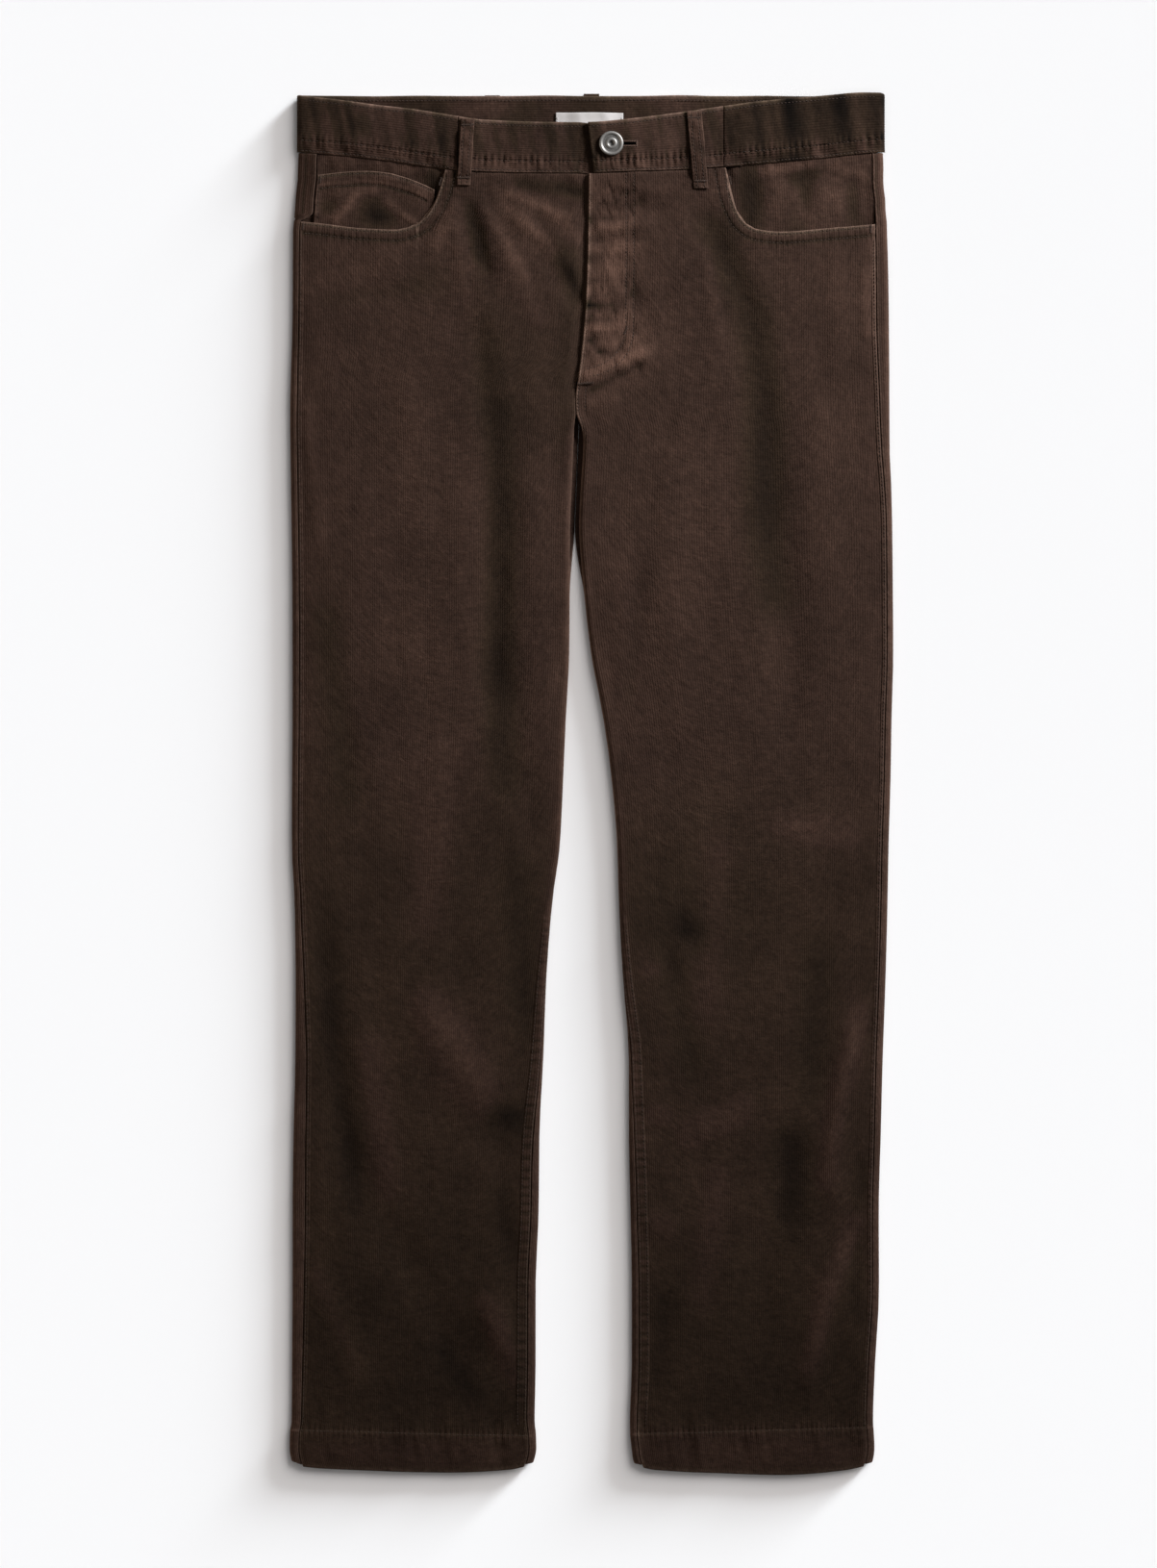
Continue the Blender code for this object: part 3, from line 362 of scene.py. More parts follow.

# Streaks beside and over the fly painted lighter, as worn pile and painted highlight on ridges, and
# painted shade in the creases between them.
FLY_WEAR_AND_SHADE = pair(
    "x0 y0 x1 y1 width share",
    """
    -76 466 -36 453 4 0.5; -36 453 -7 426 4 0.55; -70 455 -26 417 5 0.4; -30 433 -9 395 6 -0.18
    -60 472 -5 464 5 -0.35; -112 452 -122 420 5 0.3; -98 458 -88 410 5 -0.3
    """,
    """
    -2 468 20 462 4 0.35; 4 460 14 448 3 0.35; 18 462 26 450 3 -0.35; -2 443 28 445 3 -0.45
    -2 436 26 438 4 0.8; 12 428 28 424 7 0.45; 14 424 22 390 7 0.45; 24 420 34 400 3 -0.35
    -3 421 8 420 3 0.4; -3 412 8 414 2.6 -0.4; -3 403 10 403 3 0.4; -3 395 8 396 2.6 -0.4
    -4 386 14 388 3 0.5; -4 376 24 372 3 -0.6; 4 366 30 368 4 0.45; -5 366 6 362 2.6 -0.5
    -6 356 10 359 3 0.8; 10 359 24 355 3 0.7; -2 350 5 339 2.4 -0.8; 5 339 18 337 2.4 -0.8
    18 337 27 349 2.4 -0.7; 4 349 20 347 4 0.4; 27 352 34 344 4 0.5; -8 319 44 340 4.5 1
    -6 330 0 334 3 0.5; -2 309 42 331 3.4 -0.35
    """,
)

# Puffs and dents of the cloth inside the pocket mouths: centre, half widths and height.
POCKET_PUFFS = pair(
    "x y width depth height",
    "-170 489 34 7 1; -203 470 12 10 0.8",
    "125 464 9 24 -1.2; 149 466 9 22 0.7; 167 462 7 22 -0.9; 183 466 9 20 0.6; 209 460 9 22 -1.2",
)
COIN_PUFFS = table(
    "x y width depth height",
    """
    -168 448 14 12 -0.6; -206 454 7 5 -0.4; -200 466 11 6 0.5; -161 475 9 5 0.7; -136 466 8 9 0.8
    """,
)
COIN_CREASES = table(
    "x0 y0 x1 y1 width height",
    """
    -204 441 -193 453 3.5 0.8; -193 453 -185 464 3.5 0.8; -185 464 -169 467 3.5 0.6
    -163 459 -150 447 4 0.4; -150 447 -139 441 3 0.7
    """,
)
POCKET_CREASES = pair(
    "x0 y0 x1 y1 width height",
    "-210 492 -196 484 4 0.4; -146 484 -134 478 4 -0.5",
    """
    132 480 176 488 4 1; 150 474 190 481 4 -0.8; 186 484 216 478 4 0.6; 160 468 168 442 6 0.5
    192 468 196 446 4 0.4; 212 486 214 446 5 0.5
    """,
)

# Painted highlight on the coin pocket's puffs and painted shade in its dents: centre, half widths
# and share.
COIN_LIGHT_AND_SHADE = table(
    "x y width depth height",
    """
    -203 468 10 5 0.3; -207 453 7 5 -0.4; -172 455 9 9 -0.35; -167 445 13 8 -0.7; -161 474 14 6 0.5
    -134 466 9 10 0.6
    """,
)
# Painted highlight on the puffs of the cloth inside the pocket mouths, and painted shade in its
# dents and in the gap beside the coin pocket: centre, half widths and share.
FACING_LIGHT_AND_SHADE = pair(
    "x y width depth height",
    "-170 489 36 5 0.2; -124 474 5 9 -0.5; -217.4 461 1.8 20 -0.9; -148 484 20 5 0.4",
    """
    125 462 9 26 -0.5; 149 464 8 22 0.3; 167 462 7 22 -0.35; 183 464 8 20 0.3; 209 462 10 26 -0.45
    """,
)

# Belt loops: middle of each end, and width. The back ones lie under the garment.
LOOPS = {
    "belt_loop_front_right": dict(top=(-97.3, 522.5), foot=(-100.5, 470), width=11),
    "belt_loop_front_left": dict(top=(80.8, 528.2), foot=(86.3, 467.5), width=12),
    "belt_loop_back_right": dict(top=(-78, 541.4), foot=(-78, 484), width=12),
    "belt_loop_back_centre": dict(top=(0, 542.6), foot=(0, 484), width=12),
    "belt_loop_back_left": dict(top=(78, 541.4), foot=(78, 484), width=12),
}
LOOP_ARCH = 1.4
LOOP_STEP_START = 8.0
LOOP_STEP_END = 4.0
LOOP_BUMP = 8.0
LOOP_BUMP_FOOT = 22.0
LOOP_LIFT_START = 462.0
LOOP_LIFT_END = 478.0
# A loop's bars of stitches: how far from its foot and its top, and their length.
LOOP_FOLD = 6.0
LOOP_TACK = 5.0
LOOP_BAR = 9.5
# How far its two rows of stitches lie from its middle.
LOOP_ROWS = 2.7

BUTTON_AT = (15.6, 502.7)
SLOT_START = 13.0
SLOT_END = 34.5
SLOT_HALF_WIDTH = 0.9
# The slit widens to an eye at the button: how many times as wide, and how far along.
SLOT_EYE = 1.9
SLOT_EYE_LENGTH = 2.6
# Length of the stitches along the slit, and from one to the next.
HOLE_STITCH = 1.5
HOLE_PITCH = 0.62

LABEL_X = (-28, 25)
LABEL_Y = (506, 527.4)


# ---------------- sizes and colours


def length_setting(name, description, default, low, high, precision=5):
    """A length that the user may change."""
    return FloatProperty(
        name=name,
        description=description,
        default=default,
        min=low,
        max=high,
        precision=precision,
        subtype="DISTANCE",
        unit="LENGTH",
    )


class TrousersSizes(bpy.types.PropertyGroup):
    """Sizes of the cloth's surface and its sewing."""

    wale_pitch: length_setting("Wale pitch", "Width of one rib", 0.00174, 0.0008, 0.006)
    pile_depth: length_setting("Pile depth", "Depth between two ribs", 0.00026, 0, 0.002)
    stitch_length: length_setting(
        "Stitch length", "From one needle hole to the next", 0.0029, 0.001, 0.006
    )
    thread_width: length_setting("Thread width", "Thickness of the thread", 0.00052, 0.0002, 0.002)
    floor_width: length_setting("Floor", "Width of the floor", 40, 2, 100, 2)
    crease_strength: FloatProperty(
        name="Creases",
        description="How strongly the folds and creases stand out",
        default=1,
        min=0,
        max=2,
        subtype="FACTOR",
    )


def colour_setting(name, description, default):
    """A colour that the user may change."""
    return FloatVectorProperty(
        name=name, description=description, default=default, min=0, max=1, size=3, subtype="COLOR"
    )


class TrousersColours(bpy.types.PropertyGroup):
    """Colours of the cloth, thread, button, label and floor."""

    corduroy: colour_setting("Corduroy", "Pile of the cloth", (0.058, 0.0322, 0.0236))
    worn: colour_setting("Worn pile", "Rubbed pile along edges", (0.19, 0.122, 0.094))
    thread: colour_setting("Thread", "Sewing thread", (0.066, 0.04, 0.03))
    metal: colour_setting("Button", "Metal of the button", (0.62, 0.6, 0.58))
    label: colour_setting("Label", "Satin of the blank label", (0.93, 0.9, 0.9))
    floor: colour_setting("Floor", "Surface under the garment", (0.86, 0.86, 0.87))


def sizes():
    """The sizes that the sidebar shows."""
    return bpy.context.scene.trousers_sizes


def colours():
    """The colours that the sidebar shows."""
    return bpy.context.scene.trousers_colours


# ---------------- curves and uneven waves


def slopes_at_rows(places, values):
    """Slopes for a smooth curve that stays between the values on each side."""
    steps = np.diff(places)
    rises = np.diff(values) / steps
    before, after = rises[:-1], rises[1:]
    same_way = before * after > 0
    before, after = np.where(same_way, before, 1), np.where(same_way, after, 1)
    weight_before, weight_after = 2 * steps[1:] + steps[:-1], steps[1:] + 2 * steps[:-1]
    mean = (weight_before + weight_after) / (weight_before / before + weight_after / after)
    return np.concatenate([rises[:1], np.where(same_way, mean, 0), rises[-1:]])


def along(tab, column, at):
    """Value of a table's column at a place in its first column, on a smooth curve."""
    places = tab[next(iter(tab))]
    values = tab[column]
    slopes = slopes_at_rows(places, values)
    at = np.clip(at, places[0], places[-1])
    row = np.clip(np.searchsorted(places, at) - 1, 0, len(places) - 2)
    step = places[row + 1] - places[row]
    t = (at - places[row]) / step
    from_start = (1 + 2 * t) * (1 - t) ** 2 * values[row] + t * (1 - t) ** 2 * step * slopes[row]
    from_end = t * t * (3 - 2 * t) * values[row + 1] - t * t * (1 - t) * step * slopes[row + 1]
    return from_start + from_end


def ease(t):
    """0 before 0, 1 after 1, and smooth between."""
    t = np.clip(t, 0, 1)
    return t * t * (3 - 2 * t)


def between(first, last, share):
    """A value a share of the way from the first to the last."""
    return first + (last - first) * share


def bell(distance, width):
    """1 at no distance, and a third of it at the width."""
    return np.exp(-((distance / width) ** 2))


def wobble(seed, at, spacing):
    """Uneven waves between -1 and 1 along a line, with a knot every spacing."""
    knots = np.random.RandomState(seed).uniform(-1, 1, 1024)
    place = np.asarray(at) / spacing
    first = np.floor(place).astype(int)
    part = ease(place - first)
    return knots[first % 1024] * (1 - part) + knots[(first + 1) % 1024] * part


def ladder(seed, at, spacing):
    """Nearly even waves between -1 and 1, as the cloth makes between stitches."""
    drift = at / spacing + 0.5 * wobble(seed, at, spacing * 4)
    wave = 1 - (1 - np.sin(2 * math.pi * drift)) ** 2 / 2
    return wave * (0.7 + 0.3 * wobble(seed + 1, at, spacing * 2))


def uneven(seed, x, y, size_x, size_y):
    """Uneven swellings between -1 and 1 over a surface."""
    knots = np.random.RandomState(seed).uniform(-1, 1, (64, 64))
    across, up = np.asarray(x) / size_x, np.asarray(y) / size_y
    i, j = np.floor(across).astype(int), np.floor(up).astype(int)
    a, b = ease(across - i), ease(up - j)
    low = knots[i % 64, j % 64] * (1 - a) + knots[(i + 1) % 64, j % 64] * a
    high = knots[i % 64, (j + 1) % 64] * (1 - a) + knots[(i + 1) % 64, (j + 1) % 64] * a
    return low * (1 - b) + high * b


def roll(distance):
    """0 at a folded edge, rising to 1 where the cloth lies level again."""
    return np.sqrt(np.clip(1 - (1 - np.clip(distance / ROLL, 0, 1)) ** 2, 0, 1))


def puffs(tab, x, y):
    """Sum of round swellings and dents."""
    total = 0 * x
    for px, py, width, depth, height in zip(*tab.values()):
        total = total + height * np.exp(-(((x - px) / width) ** 2) - ((y - py) / depth) ** 2)
    return total


def folds(tab, x, y):
    """Sum of soft ridges and troughs."""
    total = 0 * x
    for x0, y0, x1, y1, width, height in zip(*tab.values()):
        length = math.hypot(x1 - x0, y1 - y0)
        ux, uy = (x1 - x0) / length, (y1 - y0) / length
        run = (x - x0) * ux + (y - y0) * uy
        off = (x - x0) * uy - (y - y0) * ux
        fade = np.minimum(run + width, length + width - run) / (2 * width)
        total = total + height * bell(off, width) * ease(fade)
    return total


# ---------------- outline of the legs


def column(side, end):
    """Name of a leg's column in the tables of edges."""
    return f"{SIDE_NAMES[side]}_{end}"


def named(piece, side):
    """Name of one piece of a pair."""
    return f"{piece}_{SIDE_NAMES[side]}"


def outer_edge(side, y):
    """x of a leg's outer edge, which wavers a little beside the pockets."""
    waver = 0.6 * wobble(7 + side, y, 9) * ease((y - 425) / 20)
    return along(OUTLINE, column(side, "outer"), y) + waver


def inner_edge(side, y):
    """x where a front panel ends: at the fly above the fork, and at the leg's edge below it."""
    leg = along(OUTLINE, column(side, "inner"), y)
    fly = along(FLY_EDGE, "x", y)
    if side == RIGHT:
        fly = fly + FLY_LAP * ease((y - FLY_LAP_START) / FLY_LAP_BLEND)
    return between(leg, fly, ease((y - FRONT_FORK) / CENTRE_BLEND))


def in_from_edge(seam, run):
    """Distance in from a folded edge, a run of cloth past a seam that lies seam in from it."""
    angle = np.arccos(np.clip(1 - seam / ROLL, 0, 1)) + run / ROLL
    curved = ROLL * (1 - np.cos(np.minimum(angle, math.pi / 2)))
    level = ROLL * np.maximum(angle - math.pi / 2, 0) + np.maximum(seam - ROLL, 0)
    return curved + level


def seam_inset(side, end, y):
    """How far in from an edge its seam lies, on the top face."""
    value = along(SEAMS, column(side, end), y)
    return value if end == "outer" else in_from_edge(0, value)


def fork_share(y):
    """0 where the fronts meet at the centre, and 1 below the fork."""
    return ease((FRONT_FORK + FORK_SHARE_START - y) / FORK_BLEND)


def fold_tip(side, y):
    """x of the tip of the fold along a leg's inner edge, and the run of cloth up from it."""
    run = (1 - fork_share(y)) * math.pi / 2 * ROLL
    return inner_edge(side, y) - side * in_from_edge(0, run), run


def hem_line(side, x):
    """y of the sewn line at the top of a hem."""
    return along(HEMS[side], "line", x)


def loop_rise(x, y):
    """How far the back is lifted off the floor by the belt loops under it."""
    total = 0 * x
    for name, loop in LOOPS.items():
        if "back" in name:
            off = np.abs(x - loop["foot"][0])
            total = total + ease((LOOP_BUMP_FOOT - off) / (LOOP_BUMP_FOOT - LOOP_BUMP))
    return LOOP_RISE * total * ease((y - LOOP_LIFT_START) / (LOOP_LIFT_END - LOOP_LIFT_START))


# ---------------- lines of sewing


def spaced(points, step):
    """Points every step along a line, in millimetres."""
    points = np.asarray(points, float)
    lengths = np.concatenate([[0], np.cumsum(np.linalg.norm(np.diff(points, axis=0), axis=1))])
    at = np.arange(0, lengths[-1], step)
    return np.stack([np.interp(at, lengths, points[:, i]) for i in (0, 1)], axis=1)


def line_of(x, y):
    """Points of a line from their places across and along."""
    return np.stack([x, y], axis=1)


def beside(points, distance):
    """The same line moved sideways, to the left of the way it runs."""
    points = np.asarray(points, float)
    way = np.gradient(points, axis=0)
    way = way / np.linalg.norm(way, axis=1, keepdims=True)
    return points + distance * np.stack([-way[:, 1], way[:, 0]], axis=1)


def mouth_line(side, below):
    """A line along a pocket mouth, below its edge."""
    tab = MOUTHS[side]
    x = np.linspace(*MOUTH_SEWN[side], 160)
    line = beside(line_of(x, along(tab, "y", x)), -below)
    under_band = along(BAND, "bottom", line[:, 0]) - 1.5
    return line[line[:, 1] < under_band]


def fly_curve(inset):
    """The curved line of sewing that holds the fly facing, down and round to the fly's edge."""
    turn = np.linspace(0, math.pi / 2, 24)
    x = FLY_LINE_X - inset
    foot = FLY_LINE_FOOT + inset * 0.3
    straight = [(x, FLY_LINE_TOP), (x, 420), (x - 0.5, foot)]
    across, down = FLY_BEND, FLY_BEND - inset * 0.6
    curved = [
        (x - 0.5 - across * (1 - math.cos(t)), foot - down * math.sin(t)) for t in turn[1:]
    ]
    return np.array(straight + curved)


def seam_line(side, end, run, low, high):
    """A line along a leg's seam, a run of cloth in from it."""
    y = np.arange(low, high, 4.0)
    return line_of(seam_x(side, end, y, run), y)


def seam_x(side, end, y, run):
    """x of a point a run of cloth in from a leg's seam, on its front panel."""
    if end == "outer":
        inset = seam_inset(side, "outer", y)
        return outer_edge(side, y) - side * in_from_edge(inset, run + GAP / 2)
    tip, up = fold_tip(side, y)
    gap = between(GAP, INNER_SEAM_GAP, fork_share(y))
    up = up + along(SEAMS, column(side, "inner"), y)
    return tip + side * in_from_edge(0, up + run + gap / 2)


def band_line(side, above, x0, x1):
    """A line along the waistband in front, above its lower edge or, if negative, below its top."""
    x = np.linspace(x0, x1, 60)
    border = along(BAND, "top", x) if above < 0 else band_bottom(side, x)
    return line_of(x, border + above)


def band_bottom(side, x):
    """Lower edge of the waistband in front. The right end sits a little lower, under the left."""
    sag = BAND_SAG * ease((x - BAND_SAG_START) / SIDE_BLEND) if side == RIGHT else 0
    return along(BAND, "bottom", x) - sag


def coin_line(below):
    """A line along the coin pocket, below its top edge."""
    x = np.linspace(*COIN_SEWN, 60)
    return beside(line_of(x, along(COIN_EDGE, "y", x)), -below)


def hem_path(side):
    """The sewn line at the top of a hem, which wavers a little."""
    x = np.linspace(*HEM_SEWN[side], 60)
    return line_of(x, hem_line(side, x) + 0.4 * wobble(side + 5, x, 23))


def centre_front(inset):
    """Lines beside the centre front seam, below the fly, on the left panel."""
    y = np.array([312, 304, 296, 289])
    return line_of(along(FLY_EDGE, "x", y) + inset, y)


def band_sewn(side, low, middle, high, above=9.4, low_pucker=0.14, pucker=0.75):
    """Three rows along a stretch of the waistband: two near its foot and one near its top."""
    return [
        (band_line(side, 1.7, *low), 0.3, low_pucker, 4.2, 3.2),
        (band_line(side, above, *middle), 0.5, pucker, 4.4, 5.6),
        (band_line(side, -3.4, *high), 0.28, 0.12, 4, 3),
    ]


def sewn_lines():
    """Every line of sewing on the top face, by the piece it lies on.

    Each has its points, the depth of its groove, and the height, spacing and reach of its
    puckers.
    """
    lines = {
        named("front_panel", side): [
            (mouth_line(side, MOUTH_ROWS[0]), 0.35, 0.12, 4.6, 3),
            (mouth_line(side, MOUTH_ROWS[1]), 0.6, 0.2, 5.2, 4),
            (hem_path(side), 0.35, 0.25, 4.2, 5),
        ]
        for side in (RIGHT, LEFT)
    }
    lines["front_panel_left"][2:2] = [
        (fly_curve(0), 0.3, 0.08, 9, 8),
        (fly_curve(6), 0.3, 0.08, 7, 6),
        (centre_front(1.9), 0.25, 0.15, 3, 3),
        (centre_front(7.6), 0.25, 0.15, 3, 3),
    ]
    return lines | {
        "waistband_front_right": band_sewn(RIGHT, (-104, -4), (-104, -2), (-104, -1)),
        "waistband_front_left": band_sewn(LEFT, (2.4, 103), (3, 103), (0, 103)),
        "waistband_back": [
            *band_sewn(LEFT, (105, 229), (105, 229), (105, 226), 10.4, 0.16, 0.8),
            *band_sewn(RIGHT, (-229, -106), (-229, -106), (-226, -106), 9.8, 0.16, 0.8),
        ],
        "coin_pocket": [
            (coin_line(1.8), 0.55, 0.1, 4.4, 3),
            (coin_line(10.8), 0.8, 0.14, 4.6, 4),
            (np.array([(-215, 476), (-215.4, 452), (-215, 443)]), 0.25, 0.1, 3, 3),
        ],
    }


SEWN = sewn_lines()


def nearest_on(line, x, y, reach):
    """Distance to a line and the length along it to the nearest point, within reach."""
    points = spaced(line, LINE_STEP)
    low, high = points.min(axis=0) - reach, points.max(axis=0) + reach
    near = (x > low[0]) & (x < high[0]) & (y > low[1]) & (y < high[1])
    distance, place = np.full(x.shape, 1e3), np.zeros(x.shape)
    px, py = x[near], y[near]
    best = np.full(px.shape, 1e9)
    where = np.zeros(px.shape)
    for index, (qx, qy) in enumerate(points):
        gap = (px - qx) ** 2 + (py - qy) ** 2
        closer = gap < best
        best = np.where(closer, gap, best)
        where = np.where(closer, index * LINE_STEP, where)
    distance[near], place[near] = np.sqrt(best), where
    return distance, place


def sewing_relief(piece, x, y):
    """Grooves and puckers that the lines of sewing press into a piece."""
    total = 0 * x
    for seed, (line, groove, pucker, spacing, reach) in enumerate(SEWN.get(piece, [])):
        distance, place = nearest_on(line, x, y, reach * 2)
        total = total - groove * bell(distance, GROOVE_WIDTH)
        waves = ladder(seed + 11, place, spacing)
        total = total + pucker * waves * bell(distance, reach)
    return total


def line_tone(line, x, y, width):
    """1 along a line of sewing, and less beside it."""
    return bell(nearest_on(line, x, y, 2 * width)[0], width)


# ---------------- top faces


def band_top(side, x):
    """Top face of the waistband in front. The left end laps over the right end."""
    if side == RIGHT:
        return BAND_TOP + 0 * x
    past_lap = x - BAND_UNDER_END - BAND_UNDERLAP
    return BAND_FLAP_TOP - (BAND_FLAP_TOP - BAND_TOP) * ease(past_lap / FLAP_BLEND)


def band_drag(x, above):
    """Uneven upright drag lines of the waistband, strongest near its lower seam."""
    low = ease(1 - above / 30)
    drag = 0.75 * wobble(31, x + 0.25 * above, 6.5) * low * ease(above / 4)
    drag = drag + 0.35 * wobble(33, x - 0.15 * above, 4.2) * ease(1 - above / 20) * ease(above / 4)
    broad = 0.75 * wobble(32, x - 0.1 * above, 17) * ease(above / 9)
    loops = 1.0
    for name, loop in LOOPS.items():
        if "front" in name:
            loops = loops * ease((np.abs(x - loop["top"][0] - 1.5) - 6) / 6)
    return (drag + broad - 0.2) * sizes().crease_strength * (0.15 + 0.85 * loops)


def pocket_dip(piece, x, above):
    """How far the waistband's lower edge sinks onto the cloth inside the pocket mouths."""
    if piece != "waistband_back":
        return 0 * x
    return POCKET_DIP * ease(1 - above / 12) * ease((np.abs(x) - 112) / 9)


def band_relief(piece, x, y, above):
    """Drag lines and sewing of the waistband, at a height above its lower edge."""
    return band_drag(x, above) + sewing_relief(piece, x, y) - pocket_dip(piece, x, above)


def band_surface(piece, side, x, y):
    """Top face of the waistband with its sewing."""
    return band_top(side, x) + band_relief(piece, x, y, y - band_bottom(side, x))


def front_top(side, x, y):
    """Top face of a front panel over the floor, before its small creases and sewing."""
    strength = sizes().crease_strength
    top = along(LOFT, "middle", y) + folds(FOLDS[side], x, y) * strength
    from_fly = (x - along(FLY_EDGE, "x", y)) * side
    if side == LEFT:
        lap = ease((y - FLY_FOOT) / FLY_RISE) * ease(1 - from_fly / FLY_WIDTH)
        top = top + (FLY_TOP - BODY_TOP) * lap
    else:
        dip = ease((y - FLY_FOOT + FLY_FALL_START) / FLY_FALL)
        dip = dip * ease(1 - (from_fly - FLY_DIP_FLAT) / FLY_DIP_WIDTH)
        top = between(top, FLY_DIP_TOP, dip)
    to_band = ease(1 - (band_bottom(side, x) - BAND_SHELF - y) / BAND_BLEND)
    top = between(top, band_top(side, x) - BAND_STEP, to_band)
    edge = along(LOFT, "edge", y)
    from_outer = np.abs(x - outer_edge(side, y))
    top = between(edge, top, ease((from_outer - ROLL) / SIDE_BLEND))
    below_line = hem_line(side, x) - y
    hem = HEM_TOP - (HEM_TOP - HEM_LIP_TOP) * ease(below_line / HEM_BLEND)
    top = between(top, hem, ease((below_line + HEM_STEP / 2) / HEM_STEP))
    from_inner = (x - fold_tip(side, y)[0]) * side
    return top * (1 + roll(from_outer)) / 2 * (1 + roll(from_inner)) / 2


def fly_zone(side, x, y):
    """1 over the fly's facing, and 0 beyond its sewing."""
    if side == RIGHT:
        return 0 * x
    return ease((x + 12) / 8) * ease((46 - x) / 16) * ease((y - 312) / 12) * ease((476 - y) / 6)


def crumples(x, y):
    """Puffed cloth between thin uneven creases."""
    wide = np.minimum(np.abs(uneven(55, x + 0.5 * y, y, 9, 9)) * 2.5, 1)
    fine = np.minimum(np.abs(uneven(56, x - 0.4 * y, y, 5, 7)) * 2.5, 1)
    return 0.6 * wide + 0.4 * fine - 0.6


def fly_puckers(side, x, y):
    """Short ridges across the fly's edge."""
    if side == RIGHT:
        return 0 * x
    off = np.abs(x - along(FLY_EDGE, "x", y))
    waves = wobble(41, y, 3.6) * 0.34 + wobble(42, y, 9) * 0.3
    return waves * ease((y - 318) / 20) * bell(off, 6)


def front_surface(side, x, y):
    """Top face of a front panel with all its creases and sewing."""
    strength = sizes().crease_strength
    top = front_top(side, x, y)
    from_outer = np.abs(x - outer_edge(side, y))
    from_inner = np.abs(x - fold_tip(side, y)[0])
    calm = ease((np.minimum(from_outer, from_inner) - 3) / 10)
    small = folds(CREASES[side], x, y) + crumples(x, y) * fly_zone(side, x, y)
    small = small + 0.4 * uneven(51 + side, x, y, 26, 70) + 0.3 * uneven(53 + side, x, y, 12, 24)
    hem_waves = 0.6 * wobble(60 + side, x, 15) + 0.35 * wobble(67 + side, x + 0.2 * y, 5)
    hem_waves = hem_waves * ease(1 - np.abs(y + 516) / 36)
    band = band_bottom(side, x) - y
    waist = 0.4 * wobble(63 + side, x + 0.3 * y, 11) * ease(1 - band / 34) * ease(band / 3)
    sewing = sewing_relief(named("front_panel", side), x, y)
    top = top + (small + hem_waves + waist) * calm * strength + sewing + fly_puckers(side, x, y)
    if side == LEFT:
        return top
    # The right front follows the underside of the left one where it lies under the fly.
    fly = along(FLY_EDGE, "x", y)
    under = front_surface(LEFT, np.maximum(x, fly + 0.2), y) - CLOTH - GAP
    lapped = ease((x - fly + FLY_TUCK) / FLY_TUCK) * ease((y - FLY_FOOT - 2) / 10)
    return between(top, np.minimum(under, top + 1.3), lapped)


# ---------------- meshes


def normals_of(points):
    """Unit normals of a sheet of points, laid out in rows of columns."""
    normal = np.cross(np.gradient(points, axis=1), np.gradient(points, axis=0))
    return normal / np.maximum(np.linalg.norm(normal, axis=2, keepdims=True), 1e-9)


def border_distances(points):
    """Distance of every point from the sheet's left, right, low and high borders."""
    found = {}
    for ends, axis in ((("left", "right"), 1), (("low", "high"), 0)):
        steps = np.linalg.norm(np.diff(points, axis=axis), axis=2)
        start = np.zeros_like(np.take(points[..., 0], [0], axis=axis))
        run = np.concatenate([start, np.cumsum(steps, axis=axis)], axis=axis)
        total = np.take(run, [-1], axis=axis)
        for end, far, inside in ((ends[0], 0, 3), (ends[1], -1, -4)):
            border = np.take(points, far, axis=axis)
            cross = border - np.take(points, inside, axis=axis)
            way = np.gradient(border, axis=0)
            lean = np.linalg.norm(np.cross(cross, way), axis=1)
            size = np.linalg.norm(cross, axis=1) * np.linalg.norm(way, axis=1)
            lean = np.expand_dims(lean / np.maximum(size, 1e-9), axis)
            found[end] = (run if far == 0 else total - run) * lean
    return found


def rounded(distance, radius):
    """1 at a border, falling along a quarter circle to 0 at the radius."""
    return 1 - np.sqrt(np.clip(1 - (1 - np.clip(distance / radius, 0, 1)) ** 2, 0, 1))


def borders(left, right, low, high):
    """A value for each border of a sheet."""
    return {"left": left, "right": right, "low": low, "high": high}


def crowded(edge, first, last, count):
    """Shares from 0 to 1, closer together at both ends."""
    edge = np.asarray(edge)
    return np.concatenate([edge, np.linspace(first, last, count), 1 - edge[::-1]])


def shell(columns, rows, inside_every):
    """A closed shell of two skins: a fine outer one, and an inner one with fewer columns.

    Each vertex keeps its place in the grid and which skin it is on, as numbers on the mesh.
    """
    maker = bmesh.new()
    across, up = len(columns), len(rows)
    bmesh.ops.create_grid(maker, x_segments=across - 1, y_segments=up - 1, size=0.5)
    place = maker.verts.layers.int.new("place")
    inner = maker.verts.layers.int.new("inner")
    for index, vertex in enumerate(maker.verts):
        vertex[place] = index
    bmesh.ops.solidify(maker, geom=maker.faces[:], thickness=1)
    maker.verts.ensure_lookup_table()
    for vertex in maker.verts[across * up :]:
        vertex[inner] = 1
    spare = []
    for edge in maker.edges:
        first, second = edge.verts
        if first[inner] and second[inner]:
            at = first[place] % across
            same = at == second[place] % across
            if same and at % inside_every and INSIDE_EDGE < at < across - INSIDE_EDGE - 1:
                spare.append(edge)
    bmesh.ops.dissolve_edges(maker, edges=spare, use_verts=True, use_face_split=False)
    return maker


def finished_mesh(maker, name):
    """Turns a bmesh into a mesh and frees it."""
    mesh = bpy.data.meshes.new(name)
    maker.to_mesh(mesh)
    maker.free()
    return mesh


def mesh_numbers(mesh, name, kind):
    """A number of each vertex."""
    values = np.empty(len(mesh.vertices), kind)
    mesh.attributes[name].data.foreach_get("value", values)
    return values


def add_number(mesh, name, values):
    """Stores a number for each vertex, which the material reads."""
    layer = mesh.attributes.new(name, "FLOAT", "POINT")
    layer.data.foreach_set("value", values.astype(np.float32))


